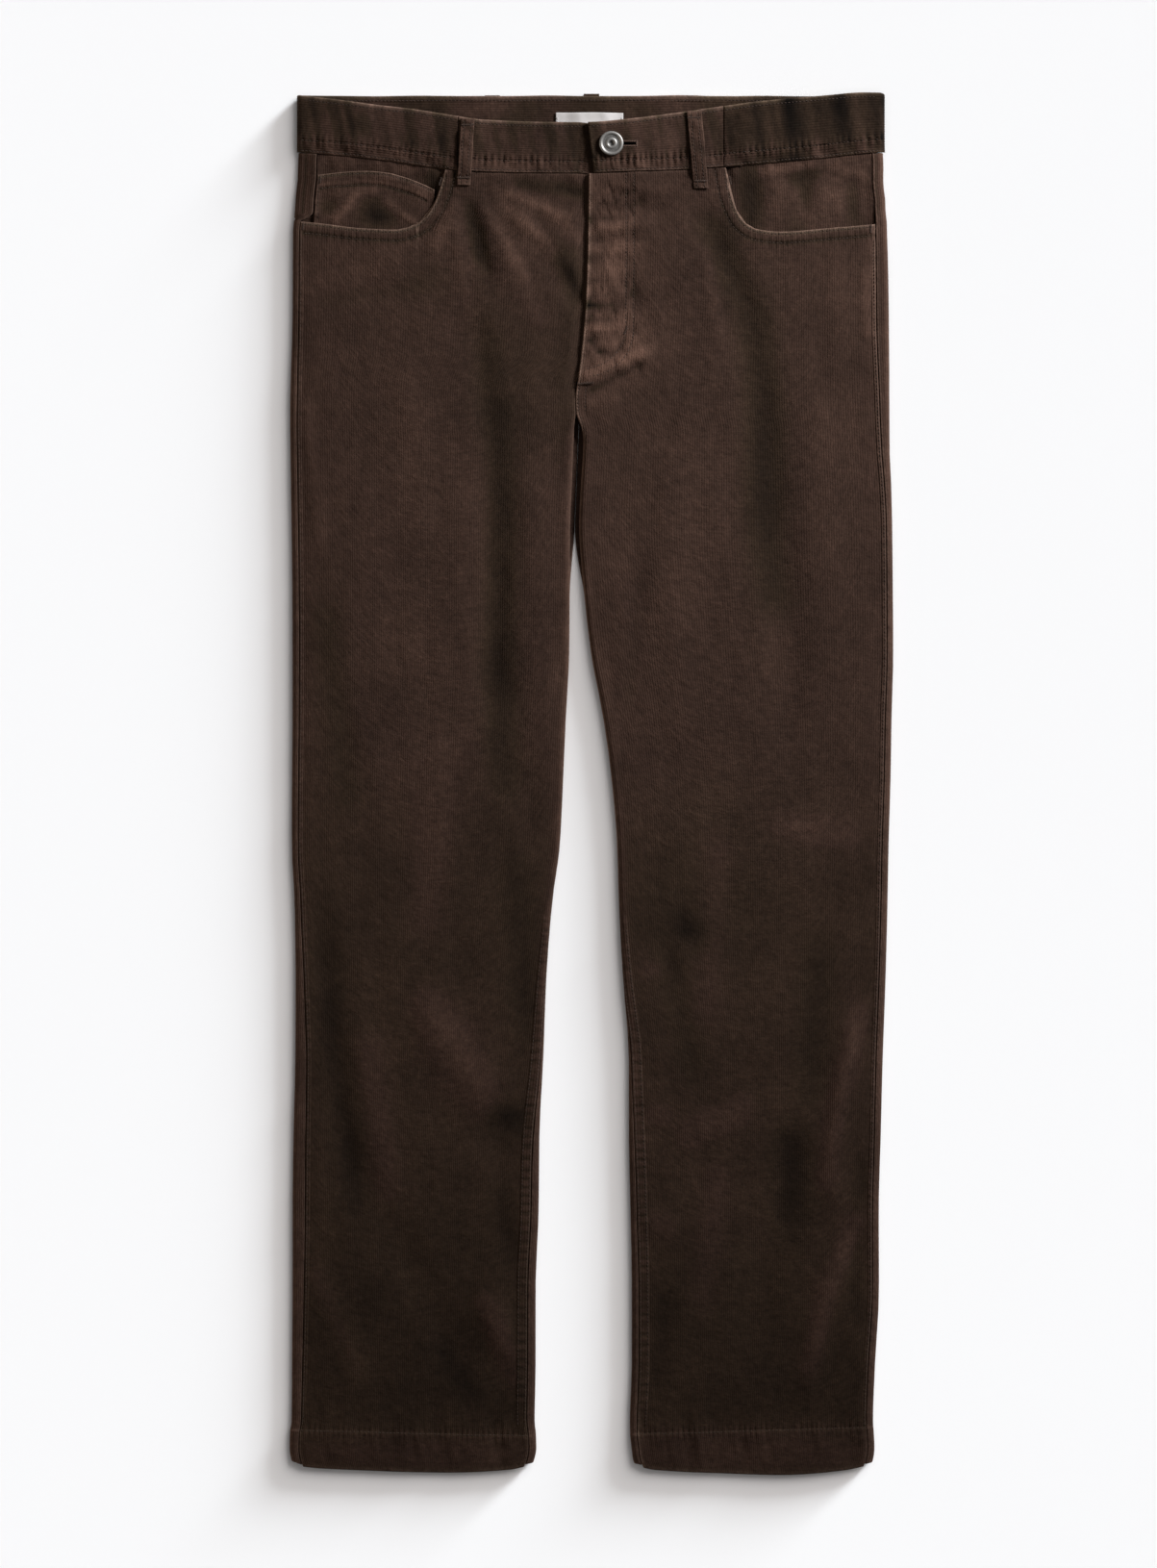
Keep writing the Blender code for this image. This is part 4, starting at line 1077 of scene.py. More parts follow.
def cloth_piece(
    name,
    columns,
    rows,
    form,
    wall,
    wales=0,
    across="u",
    rounds=None,
    worn=None,
    nap_and_painted_light=None,
    finish="corduroy",
    inside_every=INSIDE_EVERY,
    ribbed_inside=False,
):
    """A shell of cloth whose outer skin is laid out by form(u, v), in millimetres.

    wales counts the ribs across u or v. rounds gives the radius of each border, worn how much
    each border is worn lighter, and the last, a function of x and y, how much lighter or darker the
    pile is painted: its own tone, painted highlight and painted shade.
    """
    rounds, worn = rounds or {}, worn or {}
    u, v = np.meshgrid(np.asarray(columns, float), np.asarray(rows, float))
    skin = np.stack(np.broadcast_arrays(*form(u, v)), axis=2)
    normal = normals_of(skin)
    far = border_distances(skin)
    dip, fuzz, flat = 0 * u, 0 * u, 1.0 + 0 * u
    for end, radius in rounds.items():
        dip = np.maximum(dip, rounded(far[end], radius))
        flat = flat * ease(far[end] / (radius * 1.2))
    for end, amount in worn.items():
        amount = amount(skin[..., 0]) if callable(amount) else amount
        fuzz = np.maximum(fuzz, amount * bell(far[end], WORN_WIDTH))
    depth, pitch = sizes().pile_depth / MM, sizes().wale_pitch / MM
    over, lengthwise, start = (u, v, "low") if across == "u" else (v, u, "left")
    wale = wales * over
    rib = 0 * u
    if wales:
        rib = depth * (np.abs(np.sin(math.pi * wale)) ** RIB_SHAPE - 1)
        rib = rib * (1 + RIB_WAVER * uneven(71, wale, lengthwise * 40, 1, 1))
    squeeze = BORDER_SQUEEZE * wall * dip
    outer = skin + normal * (rib * (0.25 + 0.75 * flat) - squeeze)[..., None]
    inside = rib * flat if ribbed_inside else 0 * u
    inner = skin - normal * (wall - squeeze + inside)[..., None]
    texture = np.stack([wale * pitch, far[start]], axis=2)
    mesh = finished_mesh(shell(columns, rows, inside_every), name)
    place = mesh_numbers(mesh, "place", np.int32)
    is_inner = mesh_numbers(mesh, "inner", np.int32)[:, None].astype(bool)
    points = np.where(is_inner, inner.reshape(-1, 3)[place], outer.reshape(-1, 3)[place]) * MM
    mesh.vertices.foreach_set("co", points.ravel())
    add_number(mesh, "worn", fuzz.ravel()[place])
    shade = nap_and_painted_light(skin[..., 0], skin[..., 1]) if nap_and_painted_light else 0 * u
    add_number(mesh, "nap_and_painted_light", shade.ravel()[place])
    add_map(mesh, (texture.reshape(-1, 2) * MM)[place])
    for spare in ("place", "inner"):
        mesh.attributes.remove(mesh.attributes[spare])
    mesh.update()
    return add_object(f"{name}_cloth", mesh, finish)


def add_map(mesh, by_vertex):
    """UV map from a pair of numbers for each vertex, in metres."""
    corners = np.empty(len(mesh.loops), np.int32)
    mesh.loops.foreach_get("vertex_index", corners)
    layer = mesh.uv_layers.new(name="cloth")
    layer.data.foreach_set("uv", by_vertex[corners].astype(np.float32).ravel())


def add_object(name, mesh, finish):
    """Links a mesh as one piece of the trousers, which moves with them."""
    mesh.materials.append(finish_named(finish))
    mesh.shade_smooth()
    piece = bpy.data.objects.new(name, mesh)
    garment_collection().objects.link(piece)
    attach(piece, "root")
    return piece


def garment_collection():
    """The collection of everything that belongs to the garment."""
    made = bpy.data.collections.get("corduroy_trousers")
    if made is None:
        made = bpy.data.collections.new("corduroy_trousers")
        bpy.context.scene.collection.children.link(made)
    return made


# ---------------- legs


LOW_ROW, STEP_LOW, STEP_HIGH, HIGH_ROW = -540.0, -511.2, -510.0, 490.0
HEM_PART = [-540, -539.8, -539.3, -538.6, -537.6, -536, -533, -529, -525, -521, -518, -515.4]
HEM_PART += [-513.6, -512.4, -511.2, -510, -508.8, -507, -504, -500, -495, -488]
EDGE_ROWS = [486.6, 488, 489, 489.6, 489.9, 490]


def panel_rows(*groups):
    """Rows of points up a leg: its hem, groups of stretches, and its upper edge.

    A stretch is (from, to, step). It runs up to the next one's start, and the last one of a
    group ends with a row.
    """
    rows = [HEM_PART]
    for group in groups:
        rows += [np.arange(start, end - step * 0.3, step) for start, end, step in group]
        rows.append([group[-1][1]])
    return np.concatenate([*rows, EDGE_ROWS])


FRONT_ROWS = panel_rows(
    [(HEM_ZONE, 270, 10.4), (270, 300, 5)],
    [(303, 360, 3), (363.9, 455, 3.9), (455, 485, 2.6)],
)
BACK_ROWS = panel_rows(
    [(HEM_ZONE, 120, 22), (120, 214, 7), (214, 434, 22)],
    [(436.8, 453.6, 2.8), (460, 482, 7)],
)


def steps_of(rows):
    """Rows of points as shares of the way from the first to the last."""
    rows = np.asarray(rows, float)
    return (rows - rows[0]) / (rows[-1] - rows[0])


def wale_columns(wales):
    """Columns of points that draw a number of wales."""
    return np.linspace(0, 1, wales * POINTS_A_WALE + 1)


def fit_rows(nominal, lip, line, upper, flex):
    """Fits nominal rows to a hem's lip and line below, and over flex to an upper edge."""
    low, high = line - HEM_STEP / 2, line + HEM_STEP / 2
    in_hem = lip + (nominal - LOW_ROW) / (STEP_LOW - LOW_ROW) * (low - lip)
    over_hem = high + (nominal - STEP_HIGH) / (HEM_ZONE - STEP_HIGH) * (HEM_ZONE - high)
    above = flex + (nominal - flex) / (HIGH_ROW - flex) * (upper - flex)
    placed = np.where(nominal <= STEP_LOW, in_hem, nominal)
    placed = np.where((nominal > STEP_LOW) & (nominal < HEM_ZONE), over_hem, placed)
    return np.where(nominal > flex, above, placed)


def front_upper_edge(side, x):
    """Where a front panel ends above: at the pocket mouth or at the waistband."""
    at_band = band_bottom(side, x) - GAP
    at_pocket = x < MOUTHS[RIGHT]["x"][-1] if side == RIGHT else x > MOUTHS[LEFT]["x"][0]
    return np.where(at_pocket, np.minimum(along(MOUTHS[side], "y", x), at_band), at_band)


def front_x(side, share, y):
    """x of a front panel's point, a share of its cloth in from its side seam."""
    outer_level = seam_x(side, "outer", y, EDGE_CLOTH)
    inner_level = seam_x(side, "inner", y, EDGE_CLOTH)
    cloth = np.abs(inner_level - outer_level) + 2 * EDGE_CLOTH
    run = share * cloth
    outer = seam_x(side, "outer", y, np.minimum(run, EDGE_CLOTH))
    inner = seam_x(side, "inner", y, np.minimum(cloth - run, EDGE_CLOTH))
    middle = np.clip((run - EDGE_CLOTH) / (cloth - 2 * EDGE_CLOTH), 0, 1)
    return between(outer, inner, middle)


def painted_rim_light(side, x, y):
    """Painted highlight: the pile is painted lighter where it turns over the edges of a leg, for
    the sheen the rolled edges catch.
    """
    outer, inner = bell(x - outer_edge(side, y), 5), bell(x - fold_tip(side, y)[0], 5)
    return 0.6 * outer + 0.4 * inner * fork_share(y)


def ridge_wear_and_dip_shade(relief):
    """Share by which raised cloth is painted lighter, as worn pile and painted highlight, and
    sunken cloth darker, as painted shade.
    """
    return np.where(relief > 0, 0.9, 0.35) * relief


def painted_falloff_down_legs(side, y):
    """Painted shade: the pile is painted darker down the legs, most of all over the hems, where the
    light falls off.
    """
    low = -0.2 * ease((60 - y) / 160) - 0.12 * ease((-340 - y) / 120)
    return low if side == RIGHT else 0.8 * low


def front_wear_and_shade(side, x, y):
    """Painted light and shade of a front panel. Ridges and puckers are painted lighter than the
    dips between them, partly as worn pile; creases and the fly's crumples are painted light and
    dark with their relief, and the rows below the pocket mouths carry painted shade.
    """
    ridges = ridge_wear_and_dip_shade(sewing_relief(named("front_panel", side), x, y))
    fly = 0.7 * crumples(x, y) * fly_zone(side, x, y) + 0.9 * fly_puckers(side, x, y)
    fly = fly + folds(FLY_WEAR_AND_SHADE[side], x, y)
    creases = 0.4 * folds(CREASES[side], x, y)
    # Painted shade along the grooves of the rows below each pocket mouth.
    mouth = line_tone(mouth_line(side, MOUTH_ROWS[0]), x, y, 1.4) * 0.12
    mouth = mouth + line_tone(mouth_line(side, MOUTH_ROWS[1]), x, y, 2) * 0.35
    return ridges + creases + painted_rim_light(side, x, y) + fly + painted_falloff_down_legs(side, y) - mouth


def front_panel(side):
    """Front of one leg, from its hem to its pocket mouth and the waistband."""

    def form(u, v):
        share = u if side == RIGHT else 1 - u
        nominal = between(FRONT_ROWS[0], FRONT_ROWS[-1], v)
        y = nominal
        for _ in range(PASSES):
            x = front_x(side, share, y)
            lip = along(HEMS[side], "front_lip", x)
            upper = front_upper_edge(side, x)
            y = fit_rows(nominal, lip, hem_line(side, x), upper, MOUTH_LEVEL)
        return x, y, front_surface(side, x, y)

    def at_mouth(x):
        return 0.1 + 0.9 * ease((np.abs(x) - np.abs(MOUTHS[side]["x"]).min()) / 2)

    outer, inner = ("left", "right") if side == RIGHT else ("right", "left")
    return cloth_piece(
        named("front_panel", side),
        wale_columns(FRONT_WALES),
        steps_of(FRONT_ROWS),
        form,
        CLOTH,
        wales=FRONT_WALES,
        rounds={outer: 0.5, inner: 0.6 if side == RIGHT else 1.0, "low": 1.2, "high": 1.1},
        worn={"high": at_mouth, "low": 0.5, inner: 0.25 if side == RIGHT else 0.9, outer: 0.3},
        nap_and_painted_light=lambda x, y: puffs(NAP_AND_PAINTED_LIGHT[side], x, y) + front_wear_and_shade(side, x, y),
    )


def edge_turn(side, end, y):
    """How the cloth turns from a seam on the top face round a folded edge to the floor.

    It gives the seam's distance in, the cloth's level part, the angle where the turn starts
    and the whole length of cloth.
    """
    seam = seam_inset(side, end, y)
    level = np.maximum(seam - ROLL, 0)
    start = np.arccos(np.clip(1 - seam / ROLL, 0, 1))
    return seam, level, start, level + (start + math.pi / 2) * ROLL


def turned_up(side, end, y, share):
    """(x, z) of a back panel where it turns up over a folded edge.

    The share is 0 at the seam on the top face, and 1 where the panel lies on the floor.
    """
    edge = outer_edge(side, y) if end == "outer" else inner_edge(side, y)
    inwards = -side if end == "outer" else side
    seam, level, start, length = edge_turn(side, end, y)
    first = (GAP if end == "outer" else INNER_SEAM_GAP) / 2
    run = between(first, length, share)
    angle = np.maximum(start - np.maximum(run - level, 0) / ROLL, -math.pi / 2)
    distance = np.where(run < level, seam - run, ROLL * (1 - np.cos(angle)))
    x = edge + inwards * distance
    under = front_top(side, edge, y) * (1 + np.sin(np.minimum(angle, 0)))
    return x, np.where(angle >= 0, front_top(side, x, y), under)


def lifted(x, y, z):
    """Height of the back over the belt loops. Only what lies near the floor is lifted."""
    return z + loop_rise(x, y) * ease(1 - z / BAND_CLOTH)


def back_panel(side):
    """Back of one leg, from its hem to the waistband, lying on the floor."""

    def form(u, v):
        share = u if side == LEFT else 1 - u
        nominal = between(BACK_ROWS[0], BACK_ROWS[-1], v)
        y = nominal
        for _ in range(PASSES):
            in_leg = ease((CROTCH - y) / CROTCH_RISE)
            outer_run = edge_turn(side, "outer", y)[-1]
            inner_run = between(SEAT_WIDTH, edge_turn(side, "inner", y)[-1], in_leg)
            centre = along(CENTRE_BACK, "x", y) + side * GAP / 2
            outer_floor = outer_edge(side, y) - side * ROLL
            leg_floor = inner_edge(side, y) + side * ROLL
            seat_floor = centre + side * SEAT_WIDTH
            inner_floor = between(seat_floor, leg_floor, in_leg)
            cloth = np.abs(outer_floor - inner_floor) + outer_run + inner_run
            run = share * cloth
            outer_x, outer_z = turned_up(side, "outer", y, np.clip(run / outer_run, 0, 1))
            inner_share = np.clip((cloth - run) / inner_run, 0, 1)
            leg_x, leg_z = turned_up(side, "inner", y, inner_share)
            seat_x = centre + side * SEAT_WIDTH * inner_share
            inner_x, inner_z = between(seat_x, leg_x, in_leg), leg_z * in_leg
            middle = np.clip((run - outer_run) / (cloth - outer_run - inner_run), 0, 1)
            x, z = between(outer_x, inner_x, middle), between(outer_z, inner_z, middle)
            lip = along(HEMS[side], "back_lip", x)
            upper = between(BACK_WAIST_SEAM, along(BAND, "bottom", x), ease(z / BAND_TOP * 2))
            y = fit_rows(nominal, lip, hem_line(side, x), upper - GAP, LOOP_LIFT_END)
        on_floor = ease(1 - z) * ease((np.abs(x - outer_edge(side, y)) - 8) / 12)
        dents = folds(BACK_DENTS[side], x, y) * on_floor
        waves = 0.25 * uneven(81 + side, x, y, 9, 14) * ease((z - 3) / 2)
        return x, y, lifted(x, y, z) + dents + waves

    def back_tone_and_shade(x, y):
        # Painted highlight 9 mm in from the outer edge and painted shade 6 mm in, beside the side
        # seam over the pockets, with the painted rim highlight of the edges and random tone.
        inset = np.abs(x - outer_edge(side, y))
        ridge = 0.5 * bell(inset - 9, 1.3) - 0.4 * bell(inset - 6, 1.1)
        ridge = ridge * ease((y - 440) / 8) + painted_rim_light(side, x, y)
        return 0.12 * uneven(83, x, y, 40, 90) + ridge

    return cloth_piece(
        named("back_panel", side),
        wale_columns(BACK_WALES),
        steps_of(BACK_ROWS),
        form,
        CLOTH,
        wales=BACK_WALES,
        rounds=borders(0.5, 0.5, 1.2, 0.9),
        worn={"low": 0.35, "left": 0.25, "right": 0.25},
        nap_and_painted_light=back_tone_and_shade,
    )


def seam_band(name, side, end, low, high, width, rise, puckers):
    """The doubled cloth along a leg's seam, raised a little on the front panel and puckered."""

    def form(u, v):
        share = u if side == (RIGHT if end == "outer" else LEFT) else 1 - u
        y = between(low, high, v)
        x = seam_x(side, end, y, 0.2 + width * share)
        bulge = np.sqrt(np.clip(1 - (2 * share - 1) ** 4, 0, 1))
        fade = ease(v * 14) * ease((1 - v) * 14)
        waves = ladder(90 + side, y, 7) * 0.8 + wobble(93 + side, y, 9) * 0.5
        strength = puckers * (0.45 + 0.55 * ease((-330 - y) / 120)) if end == "inner" else puckers
        lift = (rise + strength * waves * (1 - (2 * share - 1) ** 2)) * bulge
        return x, y, front_surface(side, x, y) - 0.25 + (lift + 0.2) * fade

    count = max(int(width / SEAM_WALE), 2)
    rows = int((high - low) / SEAM_ROW)
    return cloth_piece(
        name,
        wale_columns(count),
        np.linspace(0, 1, rows),
        form,
        0.8,
        wales=count,
        rounds=borders(0.6, 0.6, 0.6, 0.6),
        worn={"left": 0.1, "right": 0.1},
        # Painted highlight on the puckers and painted shade between them, with the legs' painted
        # rim highlight and painted shade down the legs.
        nap_and_painted_light=lambda x, y: puffs(NAP_AND_PAINTED_LIGHT[side], x, y)
        + painted_rim_light(side, x, y)
        + painted_falloff_down_legs(side, y)
        + puckers * ladder(90 + side, y, 7),
        inside_every=4,
    )


# ---------------- waistband and belt loops


def band_rows():
    """Shares of the waistband's height, closest at its rounded edges."""
    fine = np.linspace(0, 1, BAND_WALES * POINTS_A_WALE + 1)
    edge = np.array([0.002, 0.005])
    return np.sort(np.concatenate([fine, edge, 1 - edge]))


def band_tone_and_shade(x, y):
    """The waistband's pile is darker than the legs', most of all at the wearer's left, with random
    streaks. Its sewing is painted lighter on the puckers and darker in the grooves, it is lighter
    beside the left belt loop, and painted light lifts the shade along its lower edge.
    """
    streaks = 0.32 * wobble(101, x + 0.2 * y, 4.5) + 0.3 * wobble(102, x, 13)
    streaks = streaks + 0.24 * uneven(104, x, y, 26, 14)
    sewing = sum(sewing_relief(name, x, y) for name in SEWN if name.startswith("waistband"))
    loop = 0.45 * bell(x - 99, 9)
    # Painted light along the lower edge, where the band turns down away from the lamp.
    low = 0.3 * ease((13 - y + along(BAND, "bottom", x)) / 4)
    # Painted highlight on the puckers of the sewing and painted shade in its grooves.
    seam = np.where(sewing > 0, 0.7, 0.5) * sewing
    return streaks + seam + loop + low - 0.24 - 0.26 * ease((x - 100) / 50)


def band_front_piece(side):
    """Waistband from the centre front to the seam beside the pocket."""
    seam = BAND_SEAM_LEFT - GAP / 2 if side == LEFT else BAND_SEAM_RIGHT + GAP / 2
    name = named("waistband_front", side)

    def form(u, v):
        if side == LEFT:
            end = BAND_FLAP_END + BAND_FLAP_SLANT * (1 - v)
            x = between(end, seam, u)
        else:
            x = between(seam, BAND_UNDER_END, u)
        height = along(BAND, "top", x) - along(BAND, "bottom", x)
        y = band_bottom(side, x) + height * v
        return x, y, band_surface(name, side, x, y)

    return cloth_piece(
        name,
        crowded([0, 0.002, 0.005, 0.009], 0.014, 0.986, 88),
        band_rows(),
        form,
        BAND_CLOTH,
        wales=BAND_WALES,
        across="v",
        rounds=borders(1.4 if side == LEFT else 0.2, 0.2, 0.9, 1.4),
        worn=borders(0.5 if side == LEFT else 0, 0, 0.2, 0.9),
        nap_and_painted_light=band_tone_and_shade,
        inside_every=4,
    )


def band_back_path():
    """(x, z) of the waistband's path round both side folds, seen from the waist."""
    radius = BAND_TOP / 2
    left, right = BAND["x"][-1] - radius, BAND["x"][0] + radius
    turn = np.linspace(math.pi / 2, -math.pi / 2, 17)
    front_left = np.linspace(BAND_SEAM_LEFT, left, 78)[:-1]
    front_left = np.concatenate([[front_left[0], front_left[0] + 0.3], front_left[1:]])
    front_right = np.linspace(right, BAND_SEAM_RIGHT, 78)[1:]
    front_right = np.concatenate([front_right[:-1], [front_right[-1] - 0.3, front_right[-1]]])
    left_fold, right_fold = left + radius * np.cos(turn), right - radius * np.cos(turn[::-1])
    under = np.linspace(left, right, 58)[1:-1]
    x = np.concatenate([front_left, left_fold, under, right_fold, front_right])
    fold = radius + radius * np.sin(turn)
    above_left = np.full(len(front_left), BAND_TOP)
    above_right = np.full(len(front_right), BAND_TOP)
    z = np.concatenate([above_left, fold, 0 * under, fold[::-1], above_right])
    return x, z


def band_back_piece():
    """Waistband from one front seam round the back to the other."""
    path_x, path_z = band_back_path()
    steps = np.linspace(0, 1, len(path_x))

    def form(u, v):
        x, z = np.interp(u, steps, path_x), np.interp(u, steps, path_z)
        to_back = 1 - z / BAND_TOP
        bottom, top = along(BAND, "bottom", x), along(BAND, "top", x)
        bottom = between(bottom, BACK_WAIST_SEAM, to_back)
        top = between(top, BACK_BAND_TOP, to_back)
        y = between(bottom, top, v)
        in_front = ease((0.5 - to_back) * 4)
        relief = band_relief("waistband_back", x, y, y - bottom)
        sag = 0.5 * wobble(105, x, 34) * ease((v - 0.6) * 2.5) * ease(to_back * 2 - 1)
        return x, y + sag, lifted(x, y, z) + relief * in_front

    return cloth_piece(
        "waistband_back",
        steps,
        band_rows(),
        form,
        BAND_CLOTH,
        wales=BAND_WALES,
        across="v",
        rounds=borders(0.2, 0.2, 2.4, 1.4),
        worn={"high": 0.9, "low": 0.2},
        nap_and_painted_light=band_tone_and_shade,
        inside_every=3,
        ribbed_inside=True,
    )


def loop_surface(name, x, y, run):
    """Height of a front belt loop's top face, at a share of the way up it."""
    side = LEFT if LOOPS[name]["top"][0] > 0 else RIGHT
    band_foot = along(BAND, "bottom", x)
    on_band = band_top(side, x)
    on_panel = front_top(side, x, np.minimum(y, band_foot - LOOP_STEP_END))
    lift = ease((y - band_foot + LOOP_STEP_START) / (LOOP_STEP_START - LOOP_STEP_END / 4))
    carried = between(on_panel, on_band, lift)
    arch = LOOP_ARCH * np.sin(math.pi * run) ** 2
    return carried + GAP + LOOP_CLOTH + arch


def belt_loop(name):
    """A folded strip of cloth across the waistband, standing off it a little in the middle."""
    loop = LOOPS[name]
    (top_x, top_y), (foot_x, foot_y) = loop["top"], loop["foot"]
    under = "back" in name
    seed = 110 + sorted(LOOPS).index(name)

    def form(u, v):
        y = between(foot_y, top_y, v)
        waver = 0.25 * wobble(seed, y, 11)
        x = between(foot_x, top_x, v) + (loop["width"] + waver) * (u - 0.5) + 0.4 * waver
        if under:
            return x, y, LOOP_CLOTH + 0.15 * wobble(seed + 9, y, 7) ** 2 - 0.15
        rows = bell(np.abs(u - 0.5) * loop["width"] - LOOP_ROWS, 0.7)
        tacks = bell(y - foot_y - LOOP_FOLD, 1.4) + bell(top_y - y - LOOP_TACK, 1.3)
        crown = -0.35 * (2 * u - 1) ** 4
        waves = 0.3 * wobble(seed + 5, y - 0.5 * x, 4.2) + 0.4 * wobble(seed + 6, y + x, 8)
        dents = -0.28 * rows - 0.45 * tacks + crown + waves
        doubled = 0.3 * ease((foot_y + LOOP_FOLD - y) / 1.2)
        return x, y, loop_surface(name, x, y, v) + dents + doubled

    rows = crowded([0, 0.004, 0.01, 0.018], 0.03, 0.97, 44)
    columns = np.sort(np.concatenate([wale_columns(LOOP_WALES), [0.01, 0.99]]))
    return cloth_piece(
        name,
        columns,
        rows,
        form,
        LOOP_CLOTH,
        wales=LOOP_WALES,
        rounds=borders(0.65, 0.65, 0.65, 0.65),
        worn=borders(0.12, 0.12, 0.25, 0.25),
        nap_and_painted_light=lambda x, y: 0.15 + 0.5 * wobble(seed + 3, y + 0.8 * x, 6),
        inside_every=4,
    )


# ---------------- pockets


def facing_top(side, x, y):
    """Top face of the cloth seen inside a pocket mouth."""
    level = FACING_TOP if side == RIGHT else LEFT_FACING_TOP
    from_end = np.abs(x - MOUTH_END[side])
    level = between(level, FACING_TOP, ease(1 - (from_end - MOUTH_SHELF) / MOUTH_BLEND))
    free = ease((from_end - MOUTH_SHELF) / MOUTH_BLEND)
    small = puffs(POCKET_PUFFS[side], x, y) + folds(POCKET_CREASES[side], x, y)
    level = level + (small + 0.3 * uneven(121 + side, x, y, 13, 17)) * free
    below_band = along(BAND, "bottom", x) - y
    gathers = 0.7 * wobble(125 + side, x + 0.2 * y, 5.5) * ease(below_band / 2)
    rise = ease(1 - below_band / FACING_RISE)
    drop = UNDER_BAND_DROP * ease(-below_band / 2.5)
    level = between(level, FACING_AT_BAND - 0.3 + gathers, rise) - drop
    from_seam = np.abs(x - outer_edge(side, y)) - seam_inset(side, "outer", y)
    return between(level, FACING_AT_SEAM, ease(1 - from_seam / 7))


def pocket_facing(side):
    """Cloth behind a pocket mouth, sewn in with the side seam and under the waistband."""

    def form(u, v):
        share = u if side == RIGHT else 1 - u
        y = between(MOUTH_LEVEL, BACK_WAIST_SEAM, v)
        for _ in range(PASSES):
            outer = outer_edge(side, y) - side * (seam_inset(side, "outer", y) + GAP)
            x = between(outer, FACING_END[side], share)
            low = np.minimum(along(MOUTHS[side], "y", x), FACING_FOOT) - POCKET_UNDERLAP
            high = along(BAND, "bottom", x) + BAND_UNDERLAP
            y = between(low, np.minimum(high, BACK_WAIST_SEAM - 2 * GAP), v)
        return x, y, facing_top(side, x, y)

    return cloth_piece(
        named("pocket_facing", side),
        wale_columns(FACING_WALES),
        np.linspace(0, 1, 36),
        form,
        POCKET_CLOTH,
        wales=FACING_WALES,
        rounds={"left": 0.7, "right": 0.7},
        # Painted highlight on the puffs and creases, painted shade in the dents and hollows, and
        # random tone.
        nap_and_painted_light=lambda x, y: puffs(FACING_LIGHT_AND_SHADE[side], x, y)
        + 0.7 * ridge_wear_and_dip_shade(folds(POCKET_CREASES[side], x, y))
        + 0.18 * uneven(123, x, y, 16, 40),
    )


def coin_top(x, y):
    """Top face of the coin pocket with its sewing."""
    free = ease((COIN_END - x) / SIDE_BLEND)
    small = puffs(COIN_PUFFS, x, y) + folds(COIN_CREASES, x, y)
    base = facing_top(RIGHT, x, y) + COIN_LIFT
    return base + small * free + sewing_relief("coin_pocket", x, y)


def coin_pocket():
    """Small pocket patched onto the right facing, with a curved top edge."""

    def form(u, v):
        y = between(MOUTH_LEVEL, BACK_WAIST_SEAM, v)
        for _ in range(PASSES):
            outer = outer_edge(RIGHT, y) + SEAMS["right_outer"][-1] + 4 * GAP
            x = between(outer, COIN_END, u)
            low = np.minimum(along(MOUTHS[RIGHT], "y", x), COIN_FOOT) - COIN_UNDERLAP
            y = between(low, along(COIN_EDGE, "y", x), v)
        return x, y, coin_top(x, y)

    rows = np.concatenate([np.linspace(0, 0.97, 44), [0.982, 0.99, 0.996, 1]])
    return cloth_piece(
        "coin_pocket",
        wale_columns(COIN_WALES),
        rows,
        form,
        POCKET_CLOTH,
        wales=COIN_WALES,
        rounds={"left": 0.7, "right": 0.7, "high": 0.75},
        worn={"left": 0.15, "high": 0.8},
        # Painted highlight on puffs, creases and puckers, and painted shade in dents and along the
        # rows of sewing.
        nap_and_painted_light=lambda x, y: puffs(COIN_LIGHT_AND_SHADE, x, y)
        + 1.4 * ridge_wear_and_dip_shade(folds(COIN_CREASES, x, y))
        + ridge_wear_and_dip_shade(sewing_relief("coin_pocket", x, y))
        - 0.3 * line_tone(coin_line(1.9), x, y, 1)
        + 0.25 * line_tone(coin_line(8), x, y, 1.4)
        - 0.5 * line_tone(coin_line(11.2), x, y, 1.3),
    )


# ---------------- sewing thread


def copies(unit, count, name):
    """A mesh of many copies of a small one, one after another, and the small one's points."""
    maker = bmesh.new()
    for _ in range(count):
        maker.from_mesh(unit)
    points = np.array([vertex.co for vertex in unit.vertices])
    bpy.data.meshes.remove(unit)
    return finished_mesh(maker, name), points


def unit_stitch():
    """One stitch, 1 long and 1 wide, arched over the cloth."""
    maker = bmesh.new()
    bmesh.ops.create_uvsphere(maker, u_segments=5, v_segments=5, radius=0.5)
    for vertex in maker.verts:
        x, y, z = vertex.co
        vertex.co = (z, x, y)
    bmesh.ops.recalc_face_normals(maker, faces=maker.faces[:])
    return finished_mesh(maker, "unit_stitch")


def stitches(name, places, thread="thread"):
    """Stitches laid one by one, upright. Each place is (start, end) in millimetres."""
    mesh, base = copies(unit_stitch(), len(places), name)
    start, end = (np.array([place[i] for place in places], float) for i in range(2))
    way = end - start
    length = np.linalg.norm(way, axis=1, keepdims=True)
    way = way / length
    up = np.array([0, 0, 1]) - way * way[:, 2:]
    up = up / np.linalg.norm(up, axis=1, keepdims=True)
    side = np.cross(up, way)
    width = sizes().thread_width / MM
    arch = 0.3 * (1 - (2 * base[:, 0]) ** 2) - 0.25
    placed = (
        ((start + end) / 2)[:, None, :]
        + way[:, None, :] * (base[:, 0][None, :] * length)[..., None]
        + side[:, None, :] * (base[:, 1] * width)[None, :, None]
        + up[:, None, :] * (base[:, 2] * width + arch)[None, :, None]
    )
    mesh.vertices.foreach_set("co", (placed * MM).ravel())
    mesh.update()
    return add_object(name, mesh, thread)


